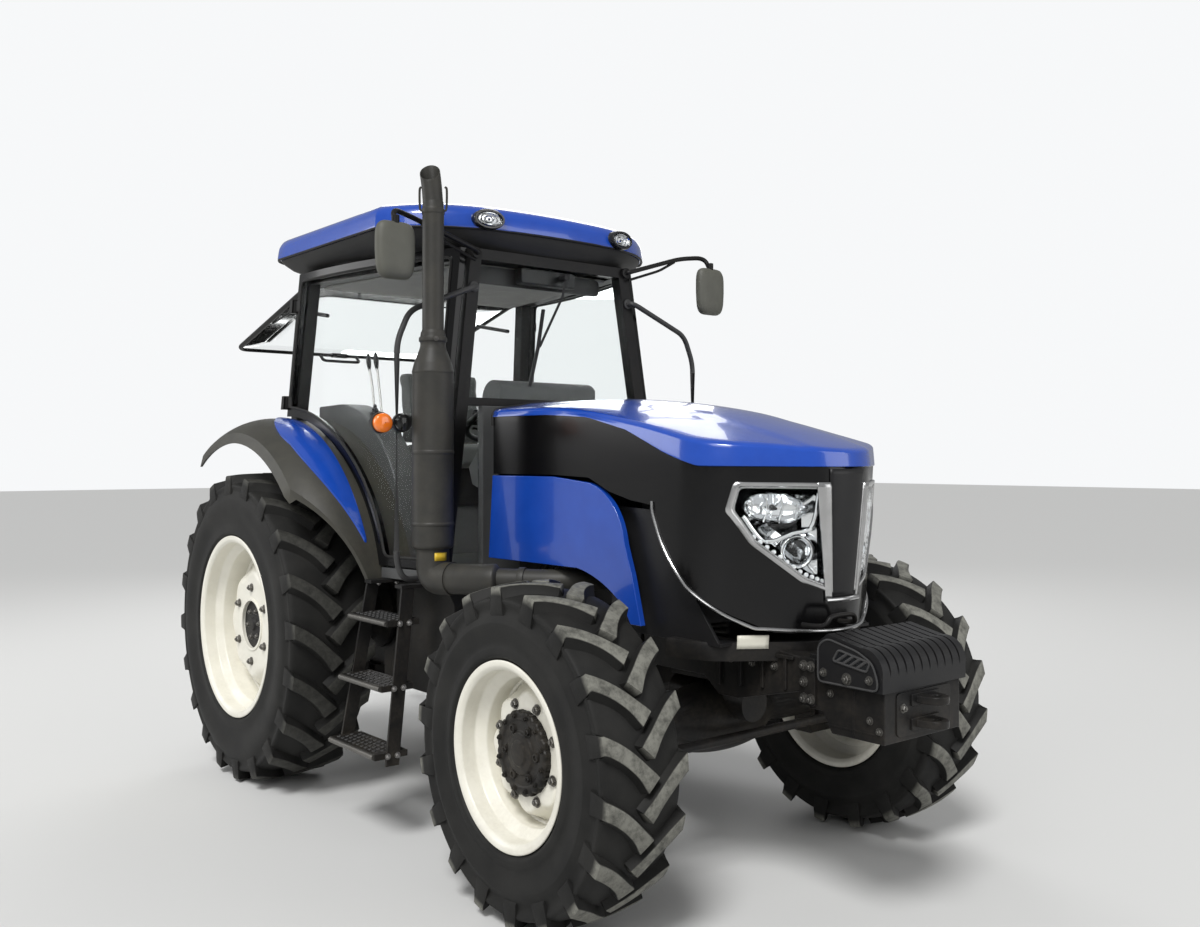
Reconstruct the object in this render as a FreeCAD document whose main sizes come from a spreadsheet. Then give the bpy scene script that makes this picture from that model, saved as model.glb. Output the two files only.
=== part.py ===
import FreeCAD, Part
import math
import os
import re
import Sketcher

# A four-wheel-drive farm tractor with a cab, standing on its wheels.
# X points forward, Y to the tractor's left and Z up. Outlines are drawn with X measured from the
# rear axle, and each piece's Placement then moves it back by rearAxleX, so that the origin lies on
# the ground below the middle of the whole machine. All sizes are in millimetres.

Vector = FreeCAD.Vector
doc = FreeCAD.newDocument("FarmTractor")
dims = doc.addObject("Spreadsheet::Sheet", "dims")

sizes = [
    # running gear
    ("wheelbase", 2420, "front axle ahead of the rear axle"),
    ("rearAxleX", -1216, "rear axle from the origin"),
    ("rearTyreRadius", 775, "rear tyre over its tread"),
    ("rearTyreWidth", 429, "rear tyre over its side walls"),
    ("rearTreadWidth", 396, "rear tyre across its tread"),
    ("rearBeadRadius", 432, "rear rim under the tyre's bead"),
    ("rearRimWidth", 404, "rear rim over its flanges"),
    ("rearTrack", 1700, "between the rear tyres' middles"),
    ("rearDiscRecess", 102, "rear disc's middle in from the outer flange"),
    ("rearDiscRise", 105, "rear disc's middle out from its edge"),
    ("rearHubRadius", 190, "rear axle's wheel flange"),
    ("axleHousing", 139.9, "rear axle housing under the cab's mounts"),
    ("shoulderY", 285.3, "rear axle housing's taper starts, from the middle"),
    ("frontTyreRadius", 595, "front tyre over its tread"),
    ("frontTyreWidth", 345, "front tyre over its side walls"),
    ("frontTreadWidth", 326, "front tyre across its tread"),
    ("frontBeadRadius", 305, "front rim under the tyre's bead"),
    ("frontRimWidth", 326, "front rim over its flanges"),
    ("frontTrack", 1720, "between the front tyres' middles"),
    ("frontDiscRecess", 95, "front disc's middle in from the outer flange"),
    ("frontDiscRise", 80, "front disc's middle out from its edge"),
    ("frontHubRadius", 150, "planetary hub on the front wheel"),
    ("hubRecess", 68, "planetary hub's cap in from the rim's outer plane"),
    ("flangeHeight", 26, "rim flange above the bead seat"),
    ("rimWall", 12, "rim plate"),
    ("discWall", 14, "wheel disc plate"),
    ("tyreWall", 24, "tyre side wall"),
    ("turningGap", 0.3, "between faces that turn on each other"),
    ("seatGap", 0.3, "between a piece and what carries it"),
    ("kingpinY", 640, "kingpin from the middle"),
    ("yokeHeight", 150, "yoke over its arms, above and below the axle"),
    ("yokePlate", 34, "yoke's arm"),
    ("steerArm", 190, "tie rod ahead of the kingpin"),
    ("tieRodRadius", 19, "steering tie rod"),
    # frame
    ("axleTubeRadius", 70, "front axle tube"),
    ("trunnionRise", 74, "axle's trunnion above the wheels' axis"),
    ("trunnionRadius", 70, "axle's trunnion"),
    ("pinionReach", 330, "axle's drive flange behind its middle"),
    ("pinionDrop", 65, "driveshaft below the wheels' axis"),
    ("frameHalfWidth", 215, "front frame"),
    ("engineHalfWidth", 235, "engine block"),
    ("gearboxHalfWidth", 225, "gearbox and clutch housing"),
    ("gearboxTop", 1060, "clutch housing's top"),
    ("gearboxRearX", -300, "rear face of the gearbox"),
    ("bellRearX", 560, "step in the gearbox's underside"),
    # stations along the frame
    ("engineRearX", 1370, "rear face of the engine"),
    ("engineFrontX", 2140, "front face of the engine"),
    ("engineTop", 1560, "engine's top"),
    ("frameTop", 960, "front frame's top"),
    ("frameBottom", 800, "front frame's underside"),
    ("weightReach", 710, "rear face of the weights ahead of the front axle"),
    ("weightLength", 290, "weights from back to front"),
    ("weightRearX", "=wheelbase + weightReach", "rear face of the weights"),
    ("weightFrontX", "=weightRearX + weightLength", "front face of the weights"),
    ("frontHubBack", 128, "inner end of the planetary hub, from the tyre's middle"),
    ("hoodFloor", 940, "lower end of the hood's form before trimming"),
    ("panelTop", 1549, "top edge of the side panels"),
    ("panelWall", 25, "side panel"),
    ("rearSillZ", 1680, "lower edge of the rear window's opening"),
    ("rearHingeZ", 2545, "rear window's hinge"),
    ("rearEdgeX", -1000, "open rear window's far edge"),
    ("rearEdgeZ", 2280, "open rear window's far edge"),
    # hood
    ("hoodHalfWidth", 470, "hood over its sides"),
    ("hoodRearX", 1500, "rear edge of the hood"),
    ("hoodNoseX", 3100, "front of the hood"),
    ("hoodTopRear", 1889, "hood's ridge at the rear"),
    ("hoodWall", 14, "hood skin"),
    ("cornerRadius", 268, "hood's corner, seen from above"),
    ("cornerBack", 393, "corner's middle behind the nose"),
    ("noseRadius", 331, "front of the nose, seen from above"),
    ("noseFace", 34, "degrees that the nose's slanted faces look outwards"),
    ("noseLean", 45, "nose's lower end behind its top"),
    ("hoodBandZ", 1592, "lower edge of the painted top at the nose"),
    ("seam", 6, "gap between panels"),
    # cab
    ("floorTop", 1130, "cab floor"),
    ("floorPlate", 50, "cab floor plate"),
    ("deckTop", 1380, "raised deck under the seat"),
    ("cabRearX", -20, "rear wall of the cab"),
    ("cabFrontX", 1330, "foot of the windshield"),
    ("sillZ", 1886, "bar below the windshield"),
    ("roofRailZ", 2580, "top of the cab's pillars"),
    ("roofHalfWidth", 790, "roof over its sides, from the middle"),
    ("roofFrontX", 1335, "roof's front edge ahead of the rear axle"),
    ("roofLampY", 388, "roof's front lamps from the middle"),
    ("roofLampZ", 130, "roof's front lamps above the top of the pillars"),
    ("glassWall", 6, "window glass"),
    ("doorWall", 30, "door frame"),
    ("doorGap", 3, "around the closed door"),
    ("doorRearY", 792, "door's outer face at its hinge, from the middle, at floor level"),
    ("railX", 1362, "handrail ahead of the rear axle"),
    ("railY", 862, "handrail from the middle"),
    ("railRadius", 13, "handrail tube"),
    # fenders
    ("fenderRadius", 1052, "fender over the rear wheel"),
    ("fenderInnerY", 580, "fender's inner wall"),
    ("fenderOuterY", 1052, "fender's outer lip"),
    ("fenderPlate", 12, "fender plate"),
    ("coverPlate", 8, "painted cover on the fender"),
    ("wheelX", 880, "steering wheel ahead of the rear axle"),
    ("wheelZ", 1810, "steering wheel's middle"),
    # exhaust
    ("stackX", 1445, "exhaust stack ahead of the rear axle"),
    ("stackY", 735, "exhaust stack from the middle"),
    ("stackTop", 2902, "exhaust stack's tip"),
    ("stackRadius", 46, "exhaust pipe"),
    ("sleeveRadius", 70, "sleeve round the exhaust's elbow"),
    ("shieldRadius", 88, "exhaust heat shield"),
    # front weights
    ("weightCount", 11, "weights on the carrier"),
    ("weightPitch", 43, "from weight to weight"),
    ("weightGap", 9, "between two weights' ribs"),
    # rear linkage
    ("linkPivotX", -110, "lower links' pivot"),
    ("linkPivotZ", 440, "lower links' pivot"),
    ("linkBracketY", 235, "hitch plate's side"),
    ("linkPinX", -566, "lift rods' pins"),
    ("armPivotX", -240, "lift arms' shaft"),
    ("armPivotZ", 1000, "lift arms' shaft"),
    ("armTipZ", 925, "lift rods' upper pins"),
    ("rodY", 386, "lift rods from the middle"),
    ("pinRadius", 14.35, "lower link's ball bore"),
    ("shaftRadius", 17.5, "power take-off shaft"),
    ("drawbarHole", 16, "drawbar pin hole's radius"),
]
for row, (alias, size, meaning) in enumerate(sizes, start=1):
    dims.set("A%d" % row, meaning)
    dims.set("B%d" % row, str(size))
    dims.setAlias("B%d" % row, alias)
doc.recompute()
aliases = {alias for alias, size, meaning in sizes}
parts = {}


# ---- helpers ----

def linked(formula):
    # "rearTrack / 2" becomes "dims.rearTrack / 2"
    def prefix(word):
        return "dims." + word.group(0) if word.group(0) in aliases else word.group(0)
    return re.sub(r"[A-Za-z]\w*", prefix, str(formula))


def value(formula):
    return float(dims.evalExpression(str(formula)))


def place(feature, x="rearAxleX", y=0, z=0):
    for axis, formula in zip("xyz", (x, y, z)):
        feature.setExpression("Placement.Base." + axis, linked(formula))


def newBody(name, x="rearAxleX", y=0, z=0):
    body = doc.addObject("PartDesign::Body", name)
    place(body, x, y, z)
    return body


def newSketch(body, plane, offset=0):
    # The XY, XZ and YZ planes face +Z, -Y and +X, and offset moves the sketch that way.
    sketch = body.newObject("Sketcher::SketchObject", body.Name + "Sketch")
    origin = [item for item in body.Origin.OriginFeatures if item.Role == plane + "_Plane"][0]
    sketch.AttachmentSupport = [(origin, "")]
    sketch.MapMode = "FlatFace"
    sketch.setExpression("AttachmentOffset.Base.z", linked(offset))
    return sketch


def fixPoint(sketch, edge, end, x, y):
    for kind, formula in (("DistanceX", x), ("DistanceY", y)):
        rule = Sketcher.Constraint(kind, -1, 1, edge, end, value(formula))
        number = sketch.addConstraint(rule)
        if isinstance(formula, str):
            sketch.setExpression("Constraints[%d]" % number, linked(formula))


def outline(sketch, corners):
    # A closed outline. A corner is (x, y); (x, y, "arc") is a point that an arc passes through.
    ends = [n for n, corner in enumerate(corners) if len(corner) == 2]
    points = [Vector(value(corner[0]), value(corner[1]), 0) for corner in corners]
    edges = []
    for n, first in enumerate(ends):
        last = ends[(n + 1) % len(ends)]
        middle = (first + 1) % len(corners)
        if middle == last:
            number = sketch.addGeometry(Part.LineSegment(points[first], points[last]), False)
            edges.append((number, 1, 2))
        else:
            curve = Part.Arc(points[first], points[middle], points[last])
            number = sketch.addGeometry(curve, False)
            turn = (points[middle] - points[first]).cross(points[last] - points[middle]).z
            edges.append((number, 1, 2) if turn > 0 else (number, 2, 1))
            spot = sketch.addGeometry(Part.Point(points[middle]), True)
            fixPoint(sketch, spot, 1, corners[middle][0], corners[middle][1])
            sketch.addConstraint(Sketcher.Constraint("PointOnObject", spot, 1, number))
    for n, (number, start, finish) in enumerate(edges):
        after = edges[(n + 1) % len(edges)]
        sketch.addConstraint(Sketcher.Constraint("Coincident", number, finish, after[0], after[1]))
        corner = corners[ends[n]]
        fixPoint(sketch, number, start, corner[0], corner[1])
    return sketch


def circle(sketch, x, y, radius):
    shape = Part.Circle(Vector(value(x), value(y), 0), Vector(0, 0, 1), value(radius))
    number = sketch.addGeometry(shape, False)
    fixPoint(sketch, number, 3, x, y)
    rule = sketch.addConstraint(Sketcher.Constraint("Radius", number, value(radius)))
    sketch.setExpression("Constraints[%d]" % rule, linked(radius))
    return sketch


def rectangle(sketch, x0, y0, x1, y1):
    return outline(sketch, [(x0, y0), (x1, y0), (x1, y1), (x0, y1)])


def pad(body, sketch, length, side="Symmetric", back=False):
    feature = body.newObject("PartDesign::Pad", body.Name + "Pad")
    feature.Profile = sketch
    feature.setExpression("Length", linked(length))
    feature.SideType = side
    feature.Reversed = back
    sketch.Visibility = False
    return feature


def pocket(body, sketch, length, side="Symmetric", back=False):
    feature = body.newObject("PartDesign::Pocket", body.Name + "Pocket")
    feature.Profile = sketch
    feature.setExpression("Length", linked(length))
    feature.SideType = side
    feature.Reversed = back
    sketch.Visibility = False
    return feature


def revolve(body, sketch, angle=360, kind="PartDesign::Revolution", axis="H_Axis"):
    feature = body.newObject(kind, body.Name + "Turned")
    feature.Profile = sketch
    feature.ReferenceAxis = (sketch, [axis])
    feature.Angle = angle
    sketch.Visibility = False
    return feature


def loft(body, sketches, kind="PartDesign::AdditiveLoft", ruled=True):
    feature = body.newObject(kind, body.Name + "Loft")
    feature.Profile = sketches[0]
    feature.Sections = sketches[1:]
    feature.Ruled = ruled
    for sketch in sketches:
        sketch.Visibility = False
    return feature


def roundEdges(body, radius, chosen):
    # A fillet on the body's edges for which chosen(edge) is true.
    doc.recompute()
    tip = body.Tip
    names = ["Edge%d" % (n + 1) for n, edge in enumerate(tip.Shape.Edges) if chosen(edge)]
    feature = body.newObject("PartDesign::Fillet", body.Name + "Fillet")
    feature.Base = (tip, names)
    feature.setExpression("Radius", linked(radius))
    return feature


def crease(edge):
    # True for the edges between the hood's upright sides and its crowned top.
    box = edge.BoundBox
    low = value("hoodBandZ") + 5
    return box.ZMin > low and box.XMax > value("hoodRearX") + 5 and box.YLength > 5


def along(axis):
    # True for a straight edge parallel to the axis.
    def test(edge):
        if edge.Curve.TypeId != "Part::GeomLine":
            return False
        return abs(abs(edge.Curve.Direction.dot(axis)) - 1) < 1e-6
    return test


def polar(radius, degrees, x, y):
    # A point at the given turn, in degrees, round the centre (x, y).
    turn = "((%s) * 1 deg)" % degrees
    return ("%s + (%s) * cos%s" % (x, radius, turn), "%s + (%s) * sin%s" % (y, radius, turn))


def flipped(run, axis=0):
    # The same run of corners on the other side of the middle, in reverse order.
    turned = []
    for corner in reversed(run):
        point = list(corner)
        point[axis] = "-(%s)" % point[axis]
        turned.append(tuple(point))
    return turned


def mirrored(name, source):
    copy = doc.addObject("Part::Mirroring", name)
    copy.Source = source
    copy.Normal = Vector(0, 1, 0)
    source.Visibility = False
    return copy


def group(name, members):
    # Like pieces of one node, which don't touch.
    both = doc.addObject("Part::Compound", name)
    both.Links = members
    return both


def fuse(name, members):
    joined = doc.addObject("Part::MultiFuse", name)
    joined.Shapes = members
    return joined


def cut(name, base, tool):
    rest = doc.addObject("Part::Cut", name)
    rest.Base = base
    rest.Tool = tool
    return rest


def common(name, base, tool):
    shared = doc.addObject("Part::Common", name)
    shared.Base = base
    shared.Tool = tool
    return shared


def keep(node, feature):
    feature.Label = node
    parts[node] = feature
    return feature


def keepPair(node, right):
    # The right-hand piece and its mirror image, each a node of its own.
    keep(node + "_right", right)
    keep(node + "_left", mirrored(node + "Left", right))


def bothSides(node, right):
    # The right-hand piece and its mirror image in one node.
    left = mirrored(node + "Mirror", right)
    return keep(node, group(node + "Both", [right, left]))


def bentPath(points, bend):
    # Straight runs joined by tangent arcs.
    spots = [Vector(*[value(number) for number in point]) for point in points]
    edges = []
    start = spots[0]
    for before, corner, after in zip(spots, spots[1:], spots[2:]):
        arrive = (corner - before).normalize()
        leave = (after - corner).normalize()
        turn = math.acos(max(-1.0, min(1.0, arrive.dot(leave))))
        room = 0.45 * min((corner - before).Length, (after - corner).Length)
        radius = min(bend, room / math.tan(turn / 2))
        reach = radius * math.tan(turn / 2)
        first = corner - arrive * reach
        last = corner + leave * reach
        inward = (leave - arrive).normalize()
        middle = corner + inward * (radius / math.cos(turn / 2) - radius)
        edges.append(Part.LineSegment(start, first).toShape())
        edges.append(Part.Arc(first, middle, last).toShape())
        start = last
    edges.append(Part.LineSegment(start, spots[-1]).toShape())
    return Part.Wire(edges)


def bentTube(name, points, radius, bend):
    # A round bar along bentPath, which leaves the planes that a sketch could hold.
    path = bentPath(points, bend)
    start = path.Vertexes[0].Point
    direction = path.Edges[0].tangentAt(path.Edges[0].FirstParameter)
    ring = Part.Wire([Part.Circle(start, direction, value(radius)).toShape()])
    tube = doc.addObject("Part::Feature", name)
    tube.Shape = path.makePipeShell([ring], True, False)
    place(tube)
    return tube


# ---- wheels ----

def tyre(name, radius, width, tread, rim, bead, x, y):
    # An open carcass: side walls bulge from the beads to the shoulders, under a crowned tread.
    body = newBody(name, x, y, radius)
    foot = "%s / 2 - rimWall" % rim
    inFoot = "%s / 2 - rimWall - 30" % rim
    bulge = "%s + 0.46 * (%s - %s)" % (bead, radius, bead)
    outer = [(foot, bead), (foot, bead + " + flangeHeight + 4"),
             (width + " / 2", bulge, "arc"), (tread + " / 2", radius + " - 55"),
             (tread + " / 2 - 12", radius + " - 16")]
    inner = [("%s / 2 - 42" % tread, radius + " - 62"),
             ("%s / 2 - tyreWall" % width, bulge, "arc"),
             (inFoot, bead + " + flangeHeight"), (inFoot, bead)]
    crown = [(0, radius, "arc")]
    arch = [(0, radius + " - 46", "arc")]
    corners = outer + crown + flipped(outer) + flipped(inner) + arch + inner
    revolve(body, outline(newSketch(body, "YZ"), corners))
    return body


def rim(name, radius, width, bead, recess, rise, hub, x, y):
    # Barrel with two flanges and a drop centre, and the disc welded into it, whose middle stands
    # out from its edge. The outer side of the right-hand wheel faces -Y.
    body = newBody(name, x, y, radius)
    half = width + " / 2"
    top = bead + " + flangeHeight"
    under = bead + " - rimWall"
    well = bead + " - 34"
    wellUnder = well + " - rimWall"
    corners = [
        ("-(%s)" % half, top), ("-(%s) + rimWall" % half, top), ("-(%s) + rimWall" % half, bead),
        ("-(%s) + 70" % half, bead), ("-(%s) + 92" % half, well), (half + " - 130", well),
        (half + " - 100", bead), (half + " - rimWall", bead), (half + " - rimWall", top),
        (half, top), (half, under), (half + " - 106", under), (half + " - 136", wellUnder),
        ("-(%s) + 98" % half, wellUnder), ("-(%s) + 76" % half, under), ("-(%s)" % half, under)]
    revolve(body, outline(newSketch(body, "YZ"), corners))
    face = "-(%s) + %s" % (half, recess)
    dish = wellUnder + " + 4"
    edge = face + " + " + rise
    disc = [
        (face, hub + " - 50"), (face, hub + " + 52"), (edge, dish), (edge + " + discWall", dish),
        (face + " + discWall", hub + " + 45"), (face + " + discWall", hub + " - 50")]
    revolve(body, outline(newSketch(body, "YZ"), disc))
    return body


def rearWheel():
    place = ("rearAxleX", "-rearTrack / 2")
    keepPair("rear_tyre", tyre("rearTyre", "rearTyreRadius", "rearTyreWidth", "rearTreadWidth",
                               "rearRimWidth", "rearBeadRadius", *place))
    wheel = rim("rearRim", "rearTyreRadius", "rearRimWidth", "rearBeadRadius", "rearDiscRecess",
                "rearDiscRise", "rearHubRadius - 40", *place)
    # axle flange and hub cap, which turn with the disc
    back = "-rearRimWidth / 2 + rearDiscRecess + discWall"
    hub = [(back, 0), (back, "rearHubRadius"), (back + " + 22", "rearHubRadius"),
           (back + " + 22", 95), (back + " + 90", 80), (back + " + 90", 0)]
    revolve(wheel, outline(newSketch(wheel, "YZ"), hub))
    cap = [(back, 0), (back + " - 20", 0), (back + " - 20", 52), (back + " - 12", 62), (back, 62)]
    revolve(wheel, outline(newSketch(wheel, "YZ"), cap))
    keepPair("rear_rim", wheel)


def frontWheel():
    place = ("rearAxleX + wheelbase", "-frontTrack / 2")
    keepPair("front_tyre", tyre("frontTyre", "frontTyreRadius", "frontTyreWidth",
                                "frontTreadWidth", "frontRimWidth", "frontBeadRadius", *place))
    wheel = rim("frontRim", "frontTyreRadius", "frontRimWidth", "frontBeadRadius",
                "frontDiscRecess", "frontDiscRise", "frontHubRadius - 30", *place)
    keepPair("front_rim", wheel)
    # planetary hub: its cover on the disc, the neck through it and the case behind it
    hub = newBody("frontHub", place[0], place[1], "frontTyreRadius")
    front = "-frontRimWidth / 2 + hubRecess"
    face = "-frontRimWidth / 2 + frontDiscRecess"
    case = [
        (front, 0), (front, "frontHubRadius - 28"), (front + " + 8", "frontHubRadius - 6"),
        (front + " + 12", "frontHubRadius"), (face, "frontHubRadius"), (face, "frontHubRadius - 80.3"),
        (face + " + discWall + 20", "frontHubRadius - 80.3"),
        ("frontHubBack", "frontHubRadius - 55"), ("frontHubBack", 0)]
    revolve(hub, outline(newSketch(hub, "YZ"), case))
    keepPair("front_hub", hub)


def knuckle():
    # Steering knuckle: a drum on the wheel's axis, kingpin bosses and the arm to the tie rod.
    body = newBody("knuckle", "rearAxleX + wheelbase", "-frontTrack / 2", "frontTyreRadius")
    inner = "frontTrack / 2 - kingpinY"
    end = "frontHubBack + turningGap"
    drum = [(end, 0), (end, 112), (end + " + 30", 118), (inner + " - 45", 100),
            (inner + " + 28", 84), (inner + " + 28", 0)]
    revolve(body, outline(newSketch(body, "YZ"), drum))
    boss = newSketch(body, "XY", 0)
    circle(boss, 0, inner, 44)
    pad(body, boss, "2 * (yokeHeight - yokePlate - turningGap)")
    arm = newSketch(body, "XY", 0)
    outline(arm, [(0, inner + " - 30"), ("steerArm", inner + " - 26"), ("steerArm + 26", inner, "arc"),
                  ("steerArm", inner + " + 26"), (60, inner + " + 24"), (0, inner + " + 24")])
    pad(body, arm, 36)
    keepPair("knuckle", body)


def tieRod():
    # Below the knuckles' arms, seated on them with its ball studs.
    body = newBody("tieRod", "rearAxleX + wheelbase + steerArm", 0,
                   "frontTyreRadius - 18 - turningGap - tieRodRadius - 8")
    rod = newSketch(body, "XZ", 0)
    circle(rod, 0, 0, "tieRodRadius")
    pad(body, rod, "2 * kingpinY - 20")
    for side in (-1, 1):
        eye = newSketch(body, "XY", "-tieRodRadius - 6")
        circle(eye, 0, "%d * kingpinY" % side, 26)
        pad(body, eye, "2 * tieRodRadius + 6 + 8", "One side")
    keep("tie_rod", body)


# ---- frame, engine and axles ----

def frontAxle():
    # Cast beam with the differential's bulge in the middle and a yoke round each knuckle.
    body = newBody("frontAxle", "rearAxleX + wheelbase", 0, "frontTyreRadius")
    beam = [
        ("-(kingpinY - 95)", 0), ("-(kingpinY - 95)", 72), ("-(kingpinY - 140)", 72),
        (-260, "axleTubeRadius"), (-150, 128), (0, 142, "arc"), (150, 128),
        (260, "axleTubeRadius"), ("kingpinY - 140", 72), ("kingpinY - 95", 72), ("kingpinY - 95", 0)]
    revolve(body, outline(newSketch(body, "YZ"), beam))
    for side in (-1, 1):
        root, end, web = [
            "%d * (kingpinY %s)" % (side, shift) for shift in ("- 122", "+ 40", "- 92")]
        yoke = [
            (root, "-yokeHeight"), (end, "-yokeHeight"), (end, "-(yokeHeight - yokePlate)"),
            (web, "-(yokeHeight - yokePlate)"), (web, "yokeHeight - yokePlate"),
            (end, "yokeHeight - yokePlate"), (end, "yokeHeight"), (root, "yokeHeight")]
        pad(body, outline(newSketch(body, "YZ"), yoke), 90)
    trunnion = newSketch(body, "YZ", 0)
    circle(trunnion, 0, "trunnionRise", "trunnionRadius")
    pad(body, trunnion, 420)
    pinion = newSketch(body, "YZ", "-pinionReach")
    circle(pinion, 0, "-pinionDrop", 68)
    pad(body, pinion, "pinionReach", "One side")
    keep("front_axle", body)


def frontFrame():
    # Cast front frame: a trough over the axle, open below, with a rail along each side.
    body = newBody("frontFrame")
    side = [
        ("engineFrontX - 120", "frameTop"), ("engineFrontX - 120", "frameBottom - 20"),
        ("wheelbase - 230", "frameBottom - 60"), ("wheelbase - 150", "frameBottom"),
        ("wheelbase + 150", "frameBottom"), ("wheelbase + 230", "frameBottom - 60"),
        ("wheelbase + 330", "frameBottom - 60"), ("weightRearX - 40", "frameBottom + 20"),
        ("weightRearX - 40", "frameTop - 30"), ("wheelbase + 380", "frameTop")]
    pad(body, outline(newSketch(body, "XZ"), side), "2 * frameHalfWidth")
    trough = rectangle(newSketch(body, "XY", "frameTop - 40"), "engineFrontX - 60", "-frameHalfWidth + 45",
                       "weightRearX - 90", "frameHalfWidth - 45")
    pocket(body, trough, 400, "One side")
    saddle = newSketch(body, "YZ", "wheelbase - 205")
    seat = "frontTyreRadius + trunnionRise + trunnionRadius + seatGap"
    outline(saddle, [(-60, "frameTop - 40"), (-60, seat), (60, seat), (60, "frameTop - 40")])
    pad(body, saddle, 410, "One side")
    keep("front_frame", body)


def engineBlock():
    body = newBody("engineBlock")
    side = [
        ("engineRearX", 700), ("engineRearX", 1500), ("engineRearX + 100", "engineTop"),
        ("engineFrontX - 120", "engineTop"), ("engineFrontX", 1480), ("engineFrontX", "frameTop + seatGap"),
        ("engineFrontX - 121", "frameTop + seatGap"), ("engineFrontX - 121", 650),
        ("engineFrontX - 200", 575), ("engineRearX + 200", 575), ("engineRearX + 120", 650)]
    pad(body, outline(newSketch(body, "XZ"), side), "2 * engineHalfWidth")
    roundEdges(body, 18, along(Vector(1, 0, 0)))
    keep("engine_block", body)


def transmission():
    # Clutch housing, gearbox and the rear axle's centre case in one casting.
    body = newBody("gearbox")
    side = [
        ("engineRearX - seatGap", 600), ("engineRearX - seatGap", "gearboxTop"), (700, "gearboxTop"),
        (420, 1080), (-180, 1080), ("gearboxRearX", 980), ("gearboxRearX", 560), (-200, 480),
        ("bellRearX", 480), ("bellRearX", 580)]
    pad(body, outline(newSketch(body, "XZ"), side), "2 * gearboxHalfWidth")
    roundEdges(body, 30, along(Vector(1, 0, 0)))
    keep("transmission_housing", body)


def rearAxle():
    # Trumpet housing bolted to the side of the centre case, up to the turning hub.
    body = newBody("rearAxle", "rearAxleX", 0, "rearTyreRadius")
    near = "-gearboxHalfWidth - seatGap"
    far = "-(rearTrack / 2 + rearRimWidth / 2 - rearDiscRecess - discWall - 90 - turningGap)"
    shoulder = "-max(shoulderY; gearboxHalfWidth + seatGap + 60)"
    trumpet = [(near, 0), (near, 190), (near + " - 24", 190), (shoulder, 140),
               (far + " + 70", 100),
               (far + " + 26", 118), (far, 118), (far, 0)]
    revolve(body, outline(newSketch(body, "YZ"), trumpet))
    bothSides("rear_axle", body)


def driveshaft():
    body = newBody("driveshaft", "rearAxleX", 0, "frontTyreRadius - pinionDrop")
    tube = newSketch(body, "YZ", "bellRearX + seatGap")
    circle(tube, 0, 0, 32)
    pad(body, tube, "wheelbase - pinionReach - bellRearX - 2 * seatGap", "One side")
    keep("driveshaft_guard", body)


def sideTanks():
    # Fuel tank on the right and battery box on the left, hung from the gearbox's sides.
    tank = newBody("fuelTank")
    side = [(760, 560), (1330, 560), (1400, 640), (1400, 980), (1340, 1040), (880, 1040), (880, 760),
            (760, 700)]
    pad(tank, outline(newSketch(tank, "XZ", 250), side), 350, "One side")
    roundEdges(tank, 30, along(Vector(0, 1, 0)))
    bracket = rectangle(newSketch(tank, "XZ", "gearboxHalfWidth + 0.5"), 960, 820, 1220, 900)
    pad(tank, bracket, "255 - gearboxHalfWidth", "One side")
    box = newBody("batteryBox")
    pad(box, rectangle(newSketch(box, "XZ", -600), 880, 600, 1340, 1000), 350, "One side")
    roundEdges(box, 20, along(Vector(0, 1, 0)))
    ear = rectangle(newSketch(box, "XZ", -255), 960, 820, 1220, 900)
    pad(box, ear, "255 - gearboxHalfWidth - 0.5", "One side")
    keep("side_tanks", group("tankAndBox", [tank, box]))


# ---- hood ----

def hoodPlan(sketch, skin, lean):
    # Seen from above: straight sides, an arc into each slanted face of the nose, and a rounded
    # front between them. The nose is drawn back by lean.
    corner = "cornerRadius - %g" % skin
    turnX = "hoodNoseX - cornerBack - %s" % lean
    turnY = "-(hoodHalfWidth - cornerRadius)"
    front = "hoodNoseX - noseRadius - %s" % lean
    right = [
        ("hoodRearX", "-(hoodHalfWidth - 6 - %g)" % skin),
        polar(corner, -90, turnX, turnY),
        polar(corner, "-(90 + noseFace) / 2", turnX, turnY) + ("arc",),
        polar(corner, "-noseFace", turnX, turnY),
        polar("noseRadius - %g" % skin, "-noseFace", front, 0)]
    tip = ("hoodNoseX - %g - %s" % (skin, lean), 0, "arc")
    return outline(sketch, right + [tip] + flipped(right, 1))


def hoodForm(name, skin, edge=0):
    # The hood's outer form less skin all round: its plan drawn upwards, then a crowned top cut by
    # one loft of arcs from the rear edge to the nose, and the edge between them rounded.
    body = newBody(name)
    levels = (("hoodFloor", "noseLean"), ("hoodBandZ", 0), ("hoodTopRear + 60", 0))
    loft(body, [hoodPlan(newSketch(body, "XY", z), skin, lean) for z, lean in levels])
    sections = []
    crown = (
        ("hoodRearX - 20", 4, 73), ("hoodRearX + 500", 12, 76), ("hoodNoseX - 660", 62, 101),
        ("hoodNoseX - 330", 138, 91), ("hoodNoseX - 120", 198, 73), ("hoodNoseX + 20", 242, 60))
    for x, down, drop in crown:
        ridge = "hoodTopRear - %g - %g" % (down, skin)
        sections.append(outline(newSketch(body, "YZ", x), [
            ("-hoodHalfWidth - 130", "hoodTopRear + 80"), ("-hoodHalfWidth - 130", "%s - %g" % (ridge, drop)),
            (0, ridge, "arc"), ("hoodHalfWidth + 130", "%s - %g" % (ridge, drop)),
            ("hoodHalfWidth + 130", "hoodTopRear + 80")]))
    loft(body, sections, "PartDesign::SubtractiveLoft", False)
    if edge:
        roundEdges(body, edge, crease)
    return body


def region(name, plane, corners, span, offset=0):
    # A block that cuts a piece out of a larger form.
    body = newBody(name)
    pad(body, outline(newSketch(body, plane, offset), corners), span)
    return body


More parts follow.
